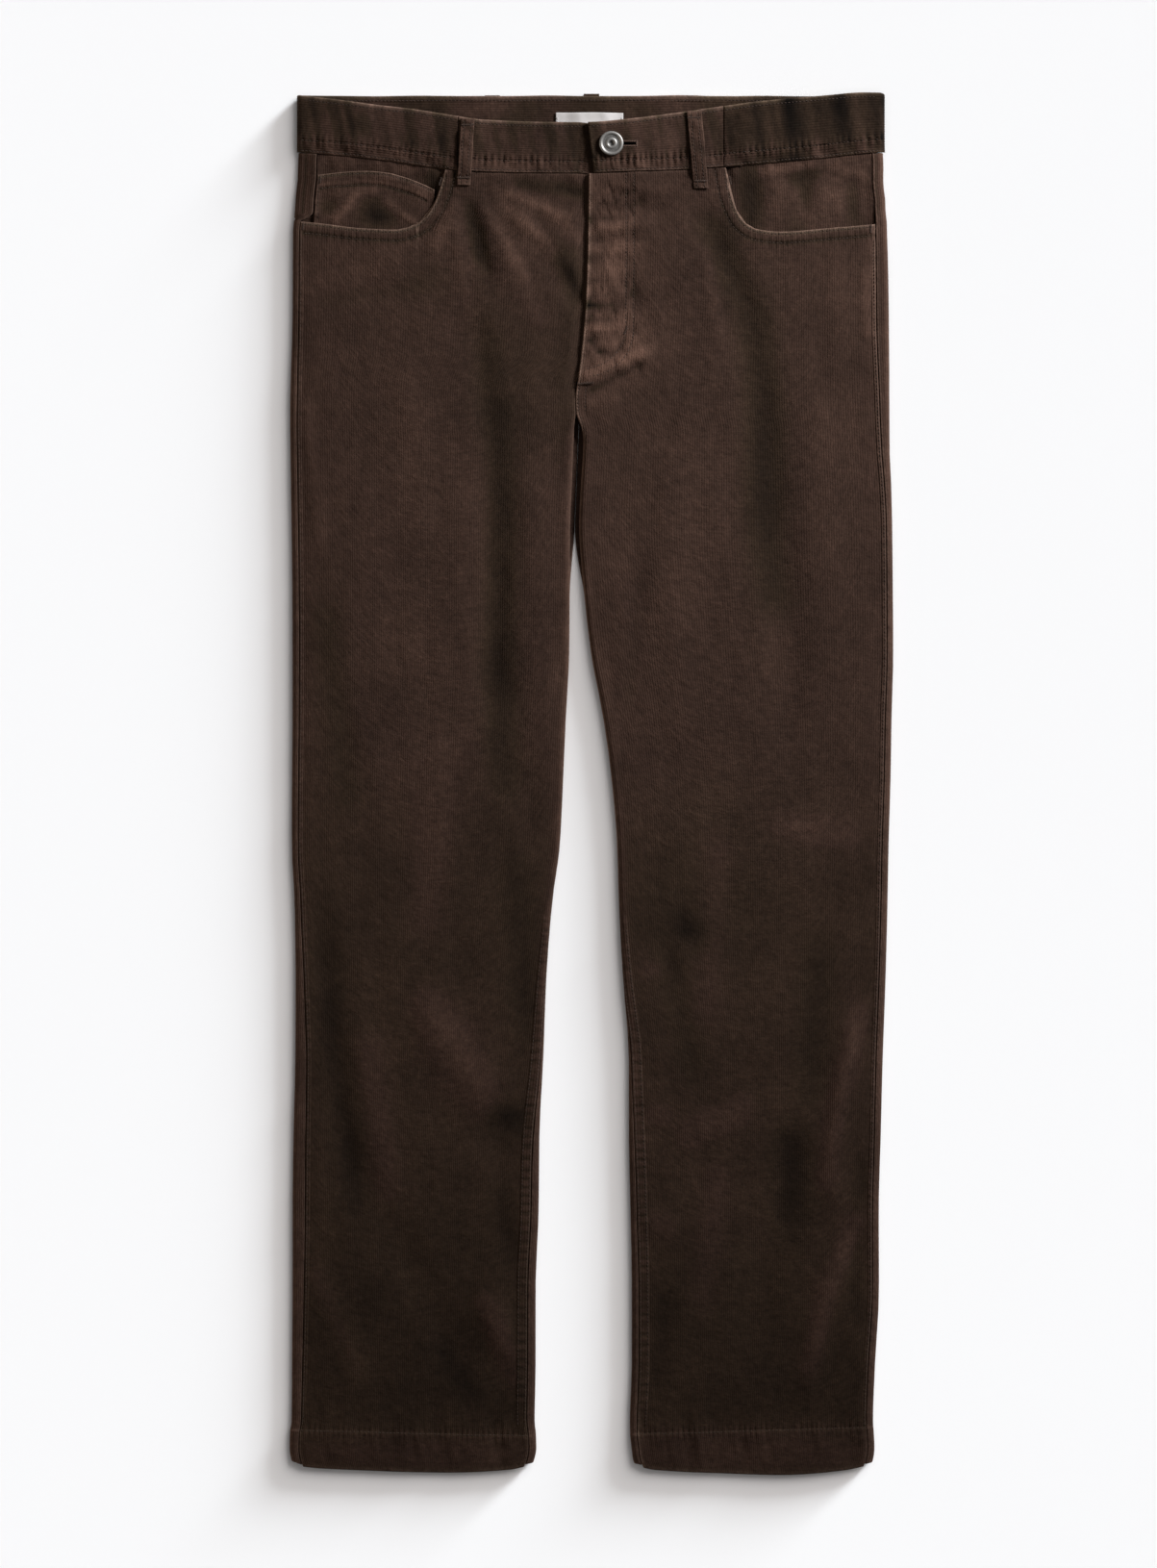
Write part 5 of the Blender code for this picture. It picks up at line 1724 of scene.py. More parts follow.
def run_of_stitches(line, surface, lift=0.12):
    """Places of the stitches along a line on a surface."""
    x, y = spaced(line, sizes().stitch_length / MM).T
    at = np.stack([x, y, surface(x, y) + lift], axis=1)
    found = []
    for first, second in zip(at, at[1:]):
        gap = (second - first) * 0.11
        found.append((first + gap, second - gap))
    return found


def bar_tack(x, y, length, angle, surface, rows=9, width=1.6, lift=0.3):
    """Places of the short stitches packed side by side in a bar."""
    ux, uy = math.cos(angle), math.sin(angle)
    found = []
    for step in np.linspace(-length / 2, length / 2, rows):
        sx, sy = x + ux * step, y + uy * step
        dx, dy = uy * width / 2, ux * width / 2
        ends = np.array([(sx - dx, sy + dy), (sx + dx, sy - dy)])
        z = surface(ends[:, 0], ends[:, 1]).max() + lift
        found.append(((*ends[0], z), (*ends[1], z)))
    return found


def all_stitches(name, surface):
    """Places of the stitches along every line of sewing on a piece."""
    return [place for line, *_ in SEWN[name] for place in run_of_stitches(line, surface)]


# Bars of close stitches on the fronts: middle, length, angle, stitches and their width.
FRONT_BARS = {
    RIGHT: [(-118.9, 473, 6, 1.3, 9, 1.6), (-227, 438, 5, 1.5, 9, 1.6)],
    LEFT: [
        (-4.5, 314.2, 12, 0.08, 16, 2.0),
        (27, 356, 6, 1.2, 9, 1.6),
        (109.2, 474, 6, 1.75, 9, 1.6),
        (220, 436, 6, 1.5, 9, 1.6),
    ],
}


def panel_sewing(side):
    """All the stitches on one front panel."""
    name = named("front_panel", side)

    def surface(x, y):
        return front_surface(side, x, y)

    places = all_stitches(name, surface)
    for end, run, high in (("inner", 1.1, -110), ("inner", 7.0, -110), ("outer", 1.2, 432)):
        line = seam_line(side, end, run, -506, high)
        places += run_of_stitches(line, surface, 0.45)
    for x, y, length, angle, rows, width in FRONT_BARS[side]:
        places += bar_tack(x, y, length, angle, surface, rows, width)
    return stitches(f"stitching_{name}", places)


def band_sewing():
    """All the stitches on the waistband, in front and on the inside of the back."""
    places = []
    for name, lines in SEWN.items():
        if not name.startswith("waistband"):
            continue
        for line, *_ in lines:
            side = LEFT if line[:, 0].mean() > 0 else RIGHT

            def surface(x, y):
                return band_surface(name, side, x, y)

            places += run_of_stitches(line, surface)
    x = np.linspace(-205, 205, 90)
    inside = line_of(x, BACK_BAND_TOP - 3.9 + 0.4 * wobble(131, x, 30))
    places += run_of_stitches(inside, lambda x, y: BAND_CLOTH + loop_rise(x, y), 0.3)
    return stitches("stitching_waistband", places)


def loop_sewing():
    """Rows and bar tacks on the two front belt loops."""
    places = []
    for name, loop in LOOPS.items():
        if "front" not in name:
            continue
        (top_x, top_y), (foot_x, foot_y) = loop["top"], loop["foot"]

        def surface(x, y):
            run = (y - foot_y) / (top_y - foot_y)
            return loop_surface(name, x, y, run) - 0.25

        for off in (-LOOP_ROWS, LOOP_ROWS):
            line = np.array([(foot_x + off, foot_y + 1.2), (top_x + off, top_y - 1.2)])
            places += run_of_stitches(line, surface, 0.2)
        for x, y in ((foot_x, foot_y + LOOP_FOLD), (top_x, top_y - LOOP_TACK)):
            places += bar_tack(x, y, LOOP_BAR, 0, surface, 15, 1.7, 0.1)
    return stitches("stitching_belt_loops", places)


def coin_sewing():
    """All the stitches on the coin pocket."""
    places = all_stitches("coin_pocket", coin_top)
    places += bar_tack(-213.5, 474.5, 4.5, 1.5, coin_top, 8, 1.5)
    return stitches("stitching_coin_pocket", places)


# ---------------- button and buttonhole


# Outside of the button's cap from its middle to its rim and under, over the waistband.
BUTTON_CAP = {
    "radius": [0, 0.9, 1.5, 1.9, 2.3, 2.8, 3.3, 3.8, 4.3, 4.7, 5.2, 6.4, 6.9, 7.2, 7.7, 8.3, 9.0]
    + [9.5, 9.6, 9.3, 8.4, 7.2],
    "height": [1.1, 1.15, 1.3, 1.75, 2.25, 2.5, 2.55, 2.45, 2.15, 1.95, 1.9, 1.9, 2.0, 2.3, 2.7]
    + [2.8, 2.6, 2.1, 1.5, 0.8, 0.3, 0.2],
}
SHANK_RADIUS = 1.5
SHANK_FLARE = 2.6
BUTTON_SIDES = 72
BEADS = 44
BEAD_RADIUS = 0.34
BEAD_RING = 5.8
BEAD_HEIGHT = 1.86


def button():
    """Dished metal button turned about its own axis, on a thin shank."""
    base = BAND_FLAP_TOP + GAP
    cap = [(r, base + z) for r, z in zip(*BUTTON_CAP.values())]
    foot = BAND_TOP + GAP
    shank = [(SHANK_FLARE, base + 0.1), (SHANK_RADIUS, base - 0.2), (SHANK_RADIUS, foot), (0, foot)]
    maker = bmesh.new()
    profile = [maker.verts.new((r * MM, 0, z * MM)) for r, z in cap + shank]
    edges = [maker.edges.new(pair) for pair in zip(profile, profile[1:])]
    bmesh.ops.spin(
        maker,
        geom=profile + edges,
        cent=(0, 0, 0),
        axis=(0, 0, 1),
        dvec=(0, 0, 0),
        angle=2 * math.pi,
        steps=BUTTON_SIDES,
        use_merge=True,
    )
    bmesh.ops.remove_doubles(maker, verts=maker.verts[:], dist=1e-6)
    bmesh.ops.recalc_face_normals(maker, faces=maker.faces[:])
    bmesh.ops.translate(
        maker, verts=maker.verts[:], vec=(BUTTON_AT[0] * MM, BUTTON_AT[1] * MM, 0)
    )
    return add_object("button_cap", finished_mesh(maker, "button"), "metal")


def button_beads():
    """Tiny beads round the button's recessed ring, in place of any lettering."""
    maker = bmesh.new()
    bmesh.ops.create_icosphere(maker, subdivisions=1, radius=BEAD_RADIUS * MM)
    mesh, base = copies(finished_mesh(maker, "unit_bead"), BEADS, "button_beads")
    turn = np.arange(BEADS) / BEADS * 2 * math.pi
    centre = np.stack([np.cos(turn), np.sin(turn), 0 * turn], axis=1) * BEAD_RING
    centre = (centre + np.array([*BUTTON_AT, BAND_FLAP_TOP + GAP + BEAD_HEIGHT])) * MM
    mesh.vertices.foreach_set("co", (centre[:, None, :] + base[None]).ravel())
    mesh.update()
    return add_object("button_beads", mesh, "metal")


def cut_buttonhole(band):
    """Cuts the slit that the button's shank stands in."""
    maker = bmesh.new()
    bmesh.ops.create_cone(
        maker,
        cap_ends=True,
        segments=24,
        radius1=SLOT_HALF_WIDTH * MM,
        radius2=SLOT_HALF_WIDTH * MM,
        depth=BAND_FLAP_TOP * MM,
    )
    for vertex in maker.verts:
        if vertex.co.x < 0:
            vertex.co.x = vertex.co.x * SLOT_EYE + (SLOT_START + SLOT_EYE_LENGTH) * MM
            vertex.co.y *= SLOT_EYE
        else:
            vertex.co.x += SLOT_END * MM
        vertex.co.y += BUTTON_AT[1] * MM
        vertex.co.z += BAND_FLAP_TOP * MM
    mesh = finished_mesh(maker, "buttonhole_cutter")
    cutter = bpy.data.objects.new("buttonhole_cutter", mesh)
    bpy.context.scene.collection.objects.link(cutter)
    cut = band.modifiers.new("buttonhole", "BOOLEAN")
    cut.object = cutter
    cut.solver = "EXACT"
    bpy.context.view_layer.update()
    cut_band = band.evaluated_get(bpy.context.evaluated_depsgraph_get())
    whole = band.data
    band.data = bpy.data.meshes.new_from_object(cut_band)
    band.modifiers.clear()
    bpy.data.meshes.remove(whole)
    bpy.data.objects.remove(cutter)


def buttonhole_sewing():
    """Close stitches round the slit, with a bar at its end."""

    def surface(x, y):
        return band_surface("waistband_front_left", LEFT, x, y)

    places = []
    half = SLOT_HALF_WIDTH + 0.2
    for x in np.arange(SLOT_START + 6, SLOT_END + 0.2, HOLE_PITCH):
        for way in (-1, 1):
            near, far = BUTTON_AT[1] + way * half, BUTTON_AT[1] + way * (half + HOLE_STITCH)
            z = surface(np.array([x]), np.array([far]))[0]
            places.append(((x, near, z - 0.1), (x, far, z + 0.1)))
    places += bar_tack(SLOT_END + 1.2, BUTTON_AT[1], 4.4, math.pi / 2, surface, 9, 1.6, 0.2)
    return stitches("buttonhole", places, "buttonhole_thread")


# ---------------- label


def label_level(x, y):
    """Height of the label's face where it lies still."""
    return BAND_CLOTH + loop_rise(x, y) + LABEL_LIFT


def label():
    """Blank satin label on the inside of the back waistband."""

    def form(u, v):
        x = between(*LABEL_X, u)
        y = between(*LABEL_Y, v) + 0.25 * wobble(141, x, 14) * v
        waves = 0.25 * wobble(142, x + 0.6 * y, 8) * ease(u * 8) * ease((1 - u) * 8)
        curl = 0.5 * ease((v - 0.72) * 4) * (0.5 + 0.5 * wobble(143, x, 19))
        return x, y, label_level(x, y) + waves + curl

    return cloth_piece(
        "waist_label",
        crowded([0, 0.003, 0.007, 0.012], 0.02, 0.98, 60),
        crowded([0, 0.006, 0.014, 0.024], 0.04, 0.96, 24),
        form,
        LABEL_CLOTH,
        rounds=borders(0.35, 0.35, 0.35, 0.35),
        finish="label",
        inside_every=4,
    )


def label_sewing():
    """Short stitches that hold the label's two ends."""
    places = []
    for x in (LABEL_X[0] + 1.2, LABEL_X[1] - 1.2):
        line = np.array([(x, LABEL_Y[0] + 1), (x, LABEL_Y[1] - 0.8)])
        places += run_of_stitches(line, label_level, 0.25)
    return stitches("stitching_label", places, "label_thread")


# ---------------- finishes


def node(tree, kind, **settings):
    """Adds a node. Settings name its properties, or its inputs by name with _ for spaces."""
    made = tree.nodes.new(kind)
    for name, value in settings.items():
        if hasattr(made, name):
            setattr(made, name, value)
        else:
            wanted = name.replace("_", " ").lower()
            socket = next(s for s in made.inputs if s.name.lower() == wanted)
            socket.default_value = value
    return made


def feed(tree, value, socket):
    """Gives a socket a number, a colour or another node's output."""
    if isinstance(value, (int, float, tuple)):
        socket.default_value = value
    else:
        tree.links.new(value, socket)


def maths(tree, operation, *values):
    """A Math node's result."""
    made = node(tree, "ShaderNodeMath", operation=operation)
    for value, socket in zip(values, made.inputs):
        feed(tree, value, socket)
    return made.outputs[0]


def times(tree, first, second):
    """Two numbers multiplied."""
    return maths(tree, "MULTIPLY", first, second)


def clamped(tree, value, high):
    """A number kept between 0 and a limit."""
    return maths(tree, "MINIMUM", maths(tree, "MAXIMUM", value, 0.0), high)


def joined(tree, *values):
    """A vector of up to three numbers."""
    made = tree.nodes.new("ShaderNodeCombineXYZ")
    for value, socket in zip(values, made.inputs):
        feed(tree, value, socket)
    return made.outputs[0]


def parts(tree, vector):
    """The three numbers of a vector."""
    made = tree.nodes.new("ShaderNodeSeparateXYZ")
    tree.links.new(vector, made.inputs[0])
    return made.outputs


def cloth_place(tree):
    """The place on the cloth, in metres: across the wales and along them."""
    return node(tree, "ShaderNodeUVMap", uv_map="cloth").outputs[0]


def object_place(tree):
    """The place on the object, in metres."""
    return node(tree, "ShaderNodeTexCoord").outputs["Object"]


def noise(tree, vector, scale=1.0, detail=2.0, roughness=0.5):
    """Noise between 0 and 1 over a vector."""
    made = node(tree, "ShaderNodeTexNoise", Scale=scale, Detail=detail, Roughness=roughness)
    tree.links.new(vector, made.inputs["Vector"])
    return made.outputs["Fac"]


def mixed(tree, share, first, second, blend="MIX"):
    """Mixes two colours by a share."""
    made = node(tree, "ShaderNodeMix", data_type="RGBA", blend_type=blend)
    for value, index in ((share, 0), (first, 6), (second, 7)):
        feed(tree, value, made.inputs[index])
    return made.outputs[2]


def stored(tree, name):
    """A number that the mesh holds for each vertex."""
    return node(tree, "ShaderNodeAttribute", attribute_name=name).outputs["Fac"]


def group_named(name, inputs, outputs):
    """An empty shader node group with named sockets, and its two end nodes."""
    group = bpy.data.node_groups.new(name, "ShaderNodeTree")
    for socket, kind, value in inputs:
        made = group.interface.new_socket(socket, in_out="INPUT", socket_type=kind)
        if value is not None:
            made.default_value = value
    for socket, kind in outputs:
        group.interface.new_socket(socket, in_out="OUTPUT", socket_type=kind)
    return group, group.nodes.new("NodeGroupInput"), group.nodes.new("NodeGroupOutput")


# Olive tint of pile painted darker, most of it painted shade.
OLIVE = (0.94, 1.07, 0.83, 1)


def pile_group():
    """Colour, roughness and height of corduroy, from the piece's own map in metres."""
    if "corduroy_pile" in bpy.data.node_groups:
        return bpy.data.node_groups["corduroy_pile"]
    tree, given, result = group_named(
        "corduroy_pile",
        [
            ("Pile Colour", "NodeSocketColor", (0.05, 0.03, 0.02, 1)),
            ("Worn Colour", "NodeSocketColor", (0.12, 0.08, 0.06, 1)),
            ("Wale Pitch", "NodeSocketFloat", 0.00174),
            ("Groove Shade", "NodeSocketFloat", 0.5),
        ],
        [
            ("Colour", "NodeSocketColor"),
            ("Roughness", "NodeSocketFloat"),
            ("Height", "NodeSocketFloat"),
        ],
    )
    links = tree.links
    across, lengthwise, _ = parts(tree, cloth_place(tree))
    wale = maths(tree, "DIVIDE", across, given.outputs["Wale Pitch"])
    ridge = maths(tree, "ABSOLUTE", maths(tree, "SINE", times(tree, wale, math.pi)))
    ridge = maths(tree, "POWER", ridge, 0.7)

    def stretched(value, by, along_by):
        """A place on the cloth, stretched both ways."""
        return joined(tree, times(tree, value, by), times(tree, lengthwise, along_by))

    # Each wale is broken into short lengths whose pile leans a little differently.
    index = maths(tree, "FLOOR", wale)
    lengths = noise(tree, stretched(index, 3.77, 170.0), 1.0, 3.0, 0.65)
    streaks = noise(tree, stretched(across, 80.0, 340.0), 1.0, 2.0, 0.6)
    place = object_place(tree)
    clouds = noise(tree, place, 16.0, 3.0, 0.6)
    mottle = noise(tree, place, 120.0, 2.0, 0.6)
    fibres = noise(tree, place, 2600.0, 2.0, 0.6)
    fluff = noise(tree, place, 620.0, 3.0, 0.7)
    nap_and_painted_light, worn = stored(tree, "nap_and_painted_light"), stored(tree, "worn")

    def spread(value, amount):
        """A value between 0 and 1 as a factor around 1."""
        return maths(tree, "MULTIPLY_ADD", value, 2 * amount, 1 - amount)

    light = spread(lengths, 0.42)
    shares = ((streaks, 0.34), (clouds, 0.5), (mottle, 0.32), (fluff, 0.45), (fibres, 0.2))
    for value, amount in shares:
        light = times(tree, light, spread(value, amount))
    # Painted light and shade that each piece stores, with the tone of its pile, brighten or darken
    # the colour.
    light = times(tree, light, maths(tree, "ADD", nap_and_painted_light, 1.0))
    groove = maths(tree, "SUBTRACT", 1.0, given.outputs["Groove Shade"])
    shaded = maths(tree, "MULTIPLY_ADD", ridge, given.outputs["Groove Shade"], groove)
    light = times(tree, light, shaded)
    rubbed_share = times(tree, worn, spread(fluff, 0.5))
    colour = mixed(tree, rubbed_share, given.outputs[0], given.outputs[1])
    # Pile painted darker, mostly as painted shade, is also tinted olive.
    away = clamped(tree, times(tree, nap_and_painted_light, -2.0), 0.55)
    colour = mixed(tree, away, colour, mixed(tree, 1.0, colour, OLIVE, "MULTIPLY"))
    lit = node(tree, "ShaderNodeVectorMath", operation="SCALE")
    links.new(colour, lit.inputs[0])
    links.new(light, lit.inputs["Scale"])
    links.new(lit.outputs[0], result.inputs["Colour"])
    rough = maths(tree, "MULTIPLY_ADD", lengths, -0.16, 0.98)
    links.new(rough, result.inputs["Roughness"])
    height = maths(tree, "MULTIPLY_ADD", fibres, 0.00008, times(tree, fluff, 0.00022))
    for value, amount in ((lengths, 0.0002), (mottle, 0.0009), (streaks, 0.0002)):
        height = maths(tree, "ADD", height, times(tree, value, amount))
    links.new(height, result.inputs["Height"])
    return tree


def surface_shader(material, **constants):
    """The Principled shader of a new material, with constants set on its own sockets."""
    material.use_nodes = True
    shader = material.node_tree.nodes["Principled BSDF"]
    for name, value in constants.items():
        shader.inputs[name.replace("_", " ")].default_value = value
    return shader


def dressed(tree, shader, colour, rough, height, strength, distance=0.0001):
    """Gives a shader its colour, its roughness and a bump."""
    tree.links.new(colour, shader.inputs["Base Color"])
    tree.links.new(rough, shader.inputs["Roughness"])
    bump = node(tree, "ShaderNodeBump", Strength=strength, Distance=distance)
    tree.links.new(height, bump.inputs["Height"])
    tree.links.new(bump.outputs[0], shader.inputs["Normal"])


def toned(colour, share=1.0):
    """A colour with a share of its brightness, at most 1."""
    return (*(min(part * share, 1) for part in colour), 1)


def corduroy_finish(material):
    """Corduroy: ribs of pile, worn lighter along the edges, and painted lighter or darker where its
    pieces store painted light and shade.
    """
    colour = colours()
    shader = surface_shader(
        material,
        Sheen_Weight=0.34,
        Sheen_Roughness=0.4,
        Sheen_Tint=(0.36, 0.25, 0.19, 1),
        Specular_IOR_Level=0.12,
    )
    tree = material.node_tree
    pile = tree.nodes.new("ShaderNodeGroup")
    pile.node_tree = pile_group()
    pile.inputs["Pile Colour"].default_value = (*colour.corduroy, 1)
    pile.inputs["Worn Colour"].default_value = (*colour.worn, 1)
    pile.inputs["Wale Pitch"].default_value = sizes().wale_pitch
    pile.inputs["Groove Shade"].default_value = 0.2
    dressed(tree, shader, *pile.outputs, 0.8, 1.0)


def twisted_finish(material, colour, lightness):
    """Thread: a fine twist over a plain colour."""
    shader = surface_shader(
        material, Sheen_Weight=0.3, Sheen_Roughness=0.4, Specular_IOR_Level=0.3
    )
    tree = material.node_tree
    place = object_place(tree)
    twist = noise(tree, place, 3200.0, 2.0, 0.5)
    tone = noise(tree, place, 260.0, 2.0, 0.6)
    share = maths(tree, "MULTIPLY_ADD", twist, 0.5, times(tree, tone, 0.6))
    blend = mixed(tree, share, toned(colour, 0.6 * lightness), toned(colour, 1.5 * lightness))
    dressed(tree, shader, blend, maths(tree, "MULTIPLY_ADD", twist, 0.2, 0.6), twist, 0.5)


def metal_finish(material):
    """Pewter: brushed rings, darker where it is sunk."""
    shader = surface_shader(material, Metallic=0.65)
    tree = material.node_tree
    place = object_place(tree)
    centre = node(tree, "ShaderNodeMapping")
    centre.inputs["Location"].default_value = (-BUTTON_AT[0] * MM, -BUTTON_AT[1] * MM, 0)
    tree.links.new(place, centre.inputs["Vector"])
    x, y, z = parts(tree, centre.outputs[0])
    radius = maths(tree, "SQRT", maths(tree, "MULTIPLY_ADD", x, x, times(tree, y, y)))
    rings = noise(tree, joined(tree, times(tree, radius, 9000.0)), 1.0, 2.0)
    specks = noise(tree, place, 1500.0, 3.0, 0.6)
    level = (BAND_FLAP_TOP + GAP) * MM
    high = maths(tree, "MULTIPLY_ADD", maths(tree, "SUBTRACT", z, level), 620.0, -0.85)
    high = clamped(tree, high, 1.0)
    tone = maths(tree, "MULTIPLY_ADD", specks, 0.5, maths(tree, "MULTIPLY_ADD", rings, 0.3, 0.15))
    share = times(tree, high, maths(tree, "ADD", tone, 0.25))
    blend = mixed(tree, share, toned(colours().metal, 0.2), toned(colours().metal))
    rough = maths(tree, "MULTIPLY_ADD", specks, 0.25, 0.36)
    dressed(tree, shader, blend, rough, maths(tree, "ADD", rings, specks), 0.35)


# From one thread of the satin to the next, both ways.
SATIN_ROW = 0.35 * MM
SATIN_WARP = 0.5 * MM


def satin_finish(material):
    """Satin: fine threads both ways with a soft shine."""
    shader = surface_shader(
        material, Sheen_Weight=0.2, Sheen_Roughness=0.3, Specular_IOR_Level=0.5
    )
    tree = material.node_tree
    along_rows = parts(tree, cloth_place(tree))[1]
    across_rows = parts(tree, object_place(tree))[0]
    rows = maths(tree, "SINE", times(tree, along_rows, 2 * math.pi / SATIN_ROW))
    warp = maths(tree, "SINE", times(tree, across_rows, 2 * math.pi / SATIN_WARP))
    weave = maths(tree, "MULTIPLY_ADD", rows, 0.25, maths(tree, "MULTIPLY_ADD", warp, 0.15, 0.5))
    soft = noise(tree, object_place(tree), 130.0, 3.0, 0.6)
    share = maths(tree, "MULTIPLY_ADD", weave, 0.3, times(tree, soft, 0.8))
    blend = mixed(tree, share, toned(colours().label, 0.82), toned(colours().label))
    dressed(tree, shader, blend, maths(tree, "MULTIPLY_ADD", soft, 0.2, 0.34), weave, 0.4)


def floor_finish(material):
    """Pale seamless floor with the faintest unevenness."""
    shader = surface_shader(material, Roughness=0.9, Specular_IOR_Level=0.1)
    tree = material.node_tree
    place = object_place(tree)
    soft = noise(tree, place, 1.3, 2.0, 0.5)
    pale = colours().floor
    tree.links.new(mixed(tree, soft, toned(pale, 0.985), toned(pale)), shader.inputs["Base Color"])


FINISHES = {
    "corduroy": corduroy_finish,
    "thread": lambda material: twisted_finish(material, colours().thread, 1.0),
    "buttonhole_thread": lambda material: twisted_finish(material, colours().thread, 2.2),
    "label_thread": lambda material: twisted_finish(material, colours().label, 0.7),
    "metal": metal_finish,
    "label": satin_finish,
    "floor": floor_finish,
}


def finish_named(name):
    """The material of that name, made the first time it is asked for."""
    found = bpy.data.materials.get(f"trousers_{name}")
    if found is None:
        found = bpy.data.materials.new(f"trousers_{name}")
        FINISHES[name](found)
    return found


# ---------------- stage


FRAME_SCALE = 0.757 * MM
FRAME_SIZE = (1203, 1630)
FRAME_CENTRE = (-10.2 * MM, -1.1 * MM)
LENS = 200.0
SENSOR = 36.0
# Suns that light only the floor, from the upper right: strength, height and width in degrees,
# and colour. Where the garment hides the low ones, the warmer high ones are left.
COOL, WARM = (0.91, 0.967, 1.0), (1.0, 0.955, 0.93)
FLOOR_SUNS = (
    ("lowest_sun", 3.5, 5, 9, COOL),
    ("low_sun", 7.0, 10, 16, COOL),
    ("middle_sun", 2.35, 34, 48, WARM),
    ("high_sun", 0.68, 80, 90, WARM),
)
SUN_WAY = (0.72, 0.69)
# Lamps that light only the garment: power, width and height, place, and the point they face.
LAMPS = (
    ("key", 11.6, (0.7, 0.5), dict(spread=math.radians(74)), (1.6, 1.5, 0.95), (0, 0.18, 0)),
    ("fill", 5.0, (1.2, 0.9), dict(color=(1, 0.86, 0.7)), (-1.5, 0.1, 0.75), (0, -0.1, 0)),
)
WORLD_LIGHT = 0.05
FLOOR_DROP = 0.3 * MM
CAMERA_REACH = 200


def camera():
    """A long lens straight above the garment, with the waist at the top."""
    data = bpy.data.cameras.new("camera")
    data.lens = LENS
    data.sensor_width = SENSOR
    data.clip_end = CAMERA_REACH
    made = bpy.data.objects.new("camera", data)
    bpy.context.scene.collection.objects.link(made)
    height = FRAME_SIZE[1] * FRAME_SCALE
    made.location = (*FRAME_CENTRE, height * LENS / SENSOR + BODY_TOP * MM)
    bpy.context.scene.camera = made


def floor():
    """A level floor, just under the garment."""
    maker = bmesh.new()
    bmesh.ops.create_grid(maker, x_segments=1, y_segments=1, size=sizes().floor_width / 2)
    bmesh.ops.translate(maker, verts=maker.verts[:], vec=(0, 0, -FLOOR_DROP))
    mesh = finished_mesh(maker, "floor")
    mesh.materials.append(finish_named("floor"))
    made = bpy.data.objects.new("floor", mesh)
    bpy.context.scene.collection.objects.link(made)
    return made


def aimed(light, origin, target):
    """Places a light and turns it to a point."""
    light.location = origin
    way = Vector(target) - Vector(origin)
    light.rotation_euler = way.to_track_quat("-Z", "Y").to_euler()


def lamp(name, kind, energy, receivers, **settings):
    """A light that reaches only one collection's pieces."""
    data = bpy.data.lights.new(name, kind)
    data.energy = energy
    for setting, value in settings.items():
        setattr(data, setting, value)
    made = bpy.data.objects.new(name, data)
    bpy.context.scene.collection.objects.link(made)
    made.light_linking.receiver_collection = receivers
    return made


def lights(floor_object):
    """Soft light from the upper right, fading towards the hems, over an evenly lit floor."""
    stage = bpy.data.collections.new("stage")
    bpy.context.scene.collection.children.link(stage)
    bpy.context.scene.collection.objects.unlink(floor_object)
    stage.objects.link(floor_object)
    garment = garment_collection()
    for name, power, (width, height), settings, place, target in LAMPS:
        shape = dict(shape="RECTANGLE", size=width, size_y=height)
        aimed(lamp(name, "AREA", power, garment, **shape, **settings), place, target)
    for name, strength, height, width, colour in FLOOR_SUNS:
        sun = lamp(name, "SUN", strength, stage, angle=math.radians(width), color=colour)
        flat = math.cos(math.radians(height))
        way = (SUN_WAY[0] * flat, SUN_WAY[1] * flat, math.sin(math.radians(height)))
        aimed(sun, way, (0, 0, 0))
    world = bpy.data.worlds.new("studio")
    bpy.context.scene.world = world
    world.use_nodes = True
    tree = world.node_tree
    background = tree.nodes["Background"]
    background.inputs["Color"].default_value = (1, 1, 1, 1)
    seen = tree.nodes.new("ShaderNodeLightPath")
    lit = 1 - WORLD_LIGHT
    strength = maths(tree, "MULTIPLY_ADD", seen.outputs["Is Camera Ray"], lit, WORLD_LIGHT)
    tree.links.new(strength, background.inputs["Strength"])


# ---------------- operators


def declare_sheet(piece, name, with_pieces=()):
    """Hides the solid that a sheet stands for."""
    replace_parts(piece, name)


class TROUSERS_OT_stage(bpy.types.Operator):
    """Makes the floor, the camera and the lights"""

    bl_idname = "trousers.stage"
    bl_label = "Stage"

    def execute(self, context):
        camera()
        lights(floor())
        context.scene.view_settings.view_transform = "Standard"
        return {"FINISHED"}


class TROUSERS_OT_back_panels(bpy.types.Operator):
    """Makes the backs of both legs, which lie on the floor"""

    bl_idname = "trousers.back_panels"
    bl_label = "Back panels"

    def execute(self, context):
        for side in (RIGHT, LEFT):
            declare_sheet(back_panel(side), named("back_panel", side))
        return {"FINISHED"}


class TROUSERS_OT_front_panels(bpy.types.Operator):
    """Makes the fronts of both legs with their seams and stitching"""

    bl_idname = "trousers.front_panels"
    bl_label = "Front panels"

    def execute(self, context):
        for side in (RIGHT, LEFT):
            name = SIDE_NAMES[side]
            piece = front_panel(side)
            inner = seam_band(f"inseam_fell_{name}", side, "inner", *INSEAM_FELL)
            outer = seam_band(f"outseam_ridge_{name}", side, "outer", *OUTSEAM_RIDGE)
            extras = [inner, outer, panel_sewing(side)]
            declare_sheet(piece, f"front_panel_{name}", extras)
        return {"FINISHED"}


class TROUSERS_OT_pockets(bpy.types.Operator):
    """Makes the cloth inside the front pockets and the coin pocket"""

    bl_idname = "trousers.pockets"
    bl_label = "Pockets"

    def execute(self, context):
        for side in (RIGHT, LEFT):
            declare_sheet(pocket_facing(side), named("pocket_facing", side))
        coin = coin_pocket()
        declare_sheet(coin, "coin_pocket", [coin_sewing()])
        return {"FINISHED"}


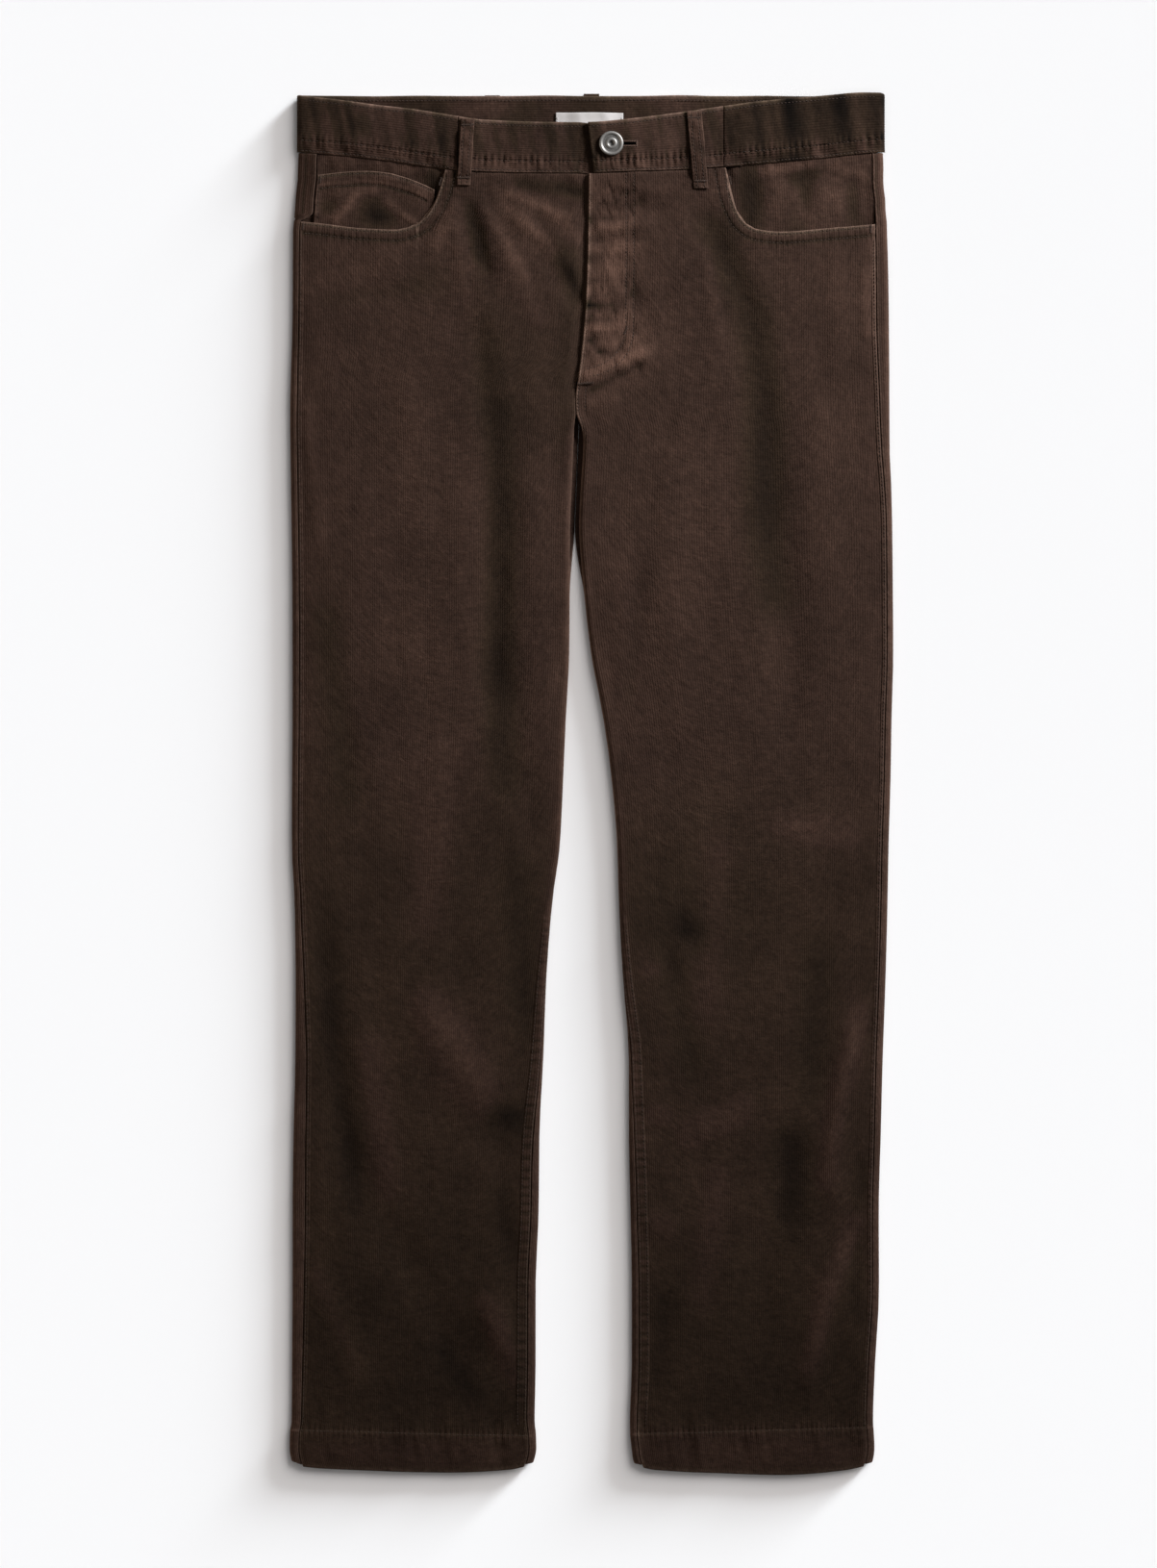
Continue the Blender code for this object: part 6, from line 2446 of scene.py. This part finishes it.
class TROUSERS_OT_waistband(bpy.types.Operator):
    """Makes the three pieces of the waistband with the buttonhole and stitching"""

    bl_idname = "trousers.waistband"
    bl_label = "Waistband"

    def execute(self, context):
        back = band_back_piece()
        right = band_front_piece(RIGHT)
        left = band_front_piece(LEFT)
        cut_buttonhole(left)
        hole = buttonhole_sewing()
        sewing = band_sewing()
        declare_sheet(back, "waistband_back", [sewing])
        declare_sheet(right, "waistband_front_right")
        declare_sheet(left, "waistband_front_left", [hole])
        return {"FINISHED"}


class TROUSERS_OT_belt_loops(bpy.types.Operator):
    """Makes the five belt loops with their bar tacks"""

    bl_idname = "trousers.belt_loops"
    bl_label = "Belt loops"

    def execute(self, context):
        for name in LOOPS:
            declare_sheet(belt_loop(name), name)
        loop_sewing()
        return {"FINISHED"}


class TROUSERS_OT_button(bpy.types.Operator):
    """Makes the fastened metal button"""

    bl_idname = "trousers.button"
    bl_label = "Button"

    def execute(self, context):
        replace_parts(button(), "button")
        button_beads()
        return {"FINISHED"}


class TROUSERS_OT_label(bpy.types.Operator):
    """Makes the blank label inside the back waistband"""

    bl_idname = "trousers.label"
    bl_label = "Label"

    def execute(self, context):
        piece = label()
        declare_sheet(piece, "waist_label", [label_sewing()])
        return {"FINISHED"}


OPERATORS = (
    TROUSERS_OT_stage,
    TROUSERS_OT_back_panels,
    TROUSERS_OT_front_panels,
    TROUSERS_OT_pockets,
    TROUSERS_OT_waistband,
    TROUSERS_OT_belt_loops,
    TROUSERS_OT_button,
    TROUSERS_OT_label,
)


class TROUSERS_PT_sidebar(bpy.types.Panel):
    """Lists the garment's sizes, colours and pieces"""

    bl_idname = "TROUSERS_PT_sidebar"
    bl_label = "Corduroy trousers"
    bl_space_type = "VIEW_3D"
    bl_region_type = "UI"
    bl_category = "Trousers"

    def draw(self, context):
        for group in (context.scene.trousers_sizes, context.scene.trousers_colours):
            box = self.layout.box()
            for name in group.__annotations__:
                box.prop(group, name)
        for operator in OPERATORS:
            self.layout.operator(operator.bl_idname)


CLASSES = (TrousersSizes, TrousersColours, *OPERATORS, TROUSERS_PT_sidebar)


def register():
    for item in CLASSES:
        bpy.utils.register_class(item)
    bpy.types.Scene.trousers_sizes = PointerProperty(type=TrousersSizes)
    bpy.types.Scene.trousers_colours = PointerProperty(type=TrousersColours)


def unregister():
    del bpy.types.Scene.trousers_colours
    del bpy.types.Scene.trousers_sizes
    for item in reversed(CLASSES):
        bpy.utils.unregister_class(item)


def main():
    """Makes the stage and every piece."""
    register()
    for operator in OPERATORS:
        group, name = operator.bl_idname.split(".")
        if getattr(getattr(bpy.ops, group), name)() != {"FINISHED"}:
            raise RuntimeError(f"{operator.bl_label} could not be made")


if __name__ == "__main__":
    main()
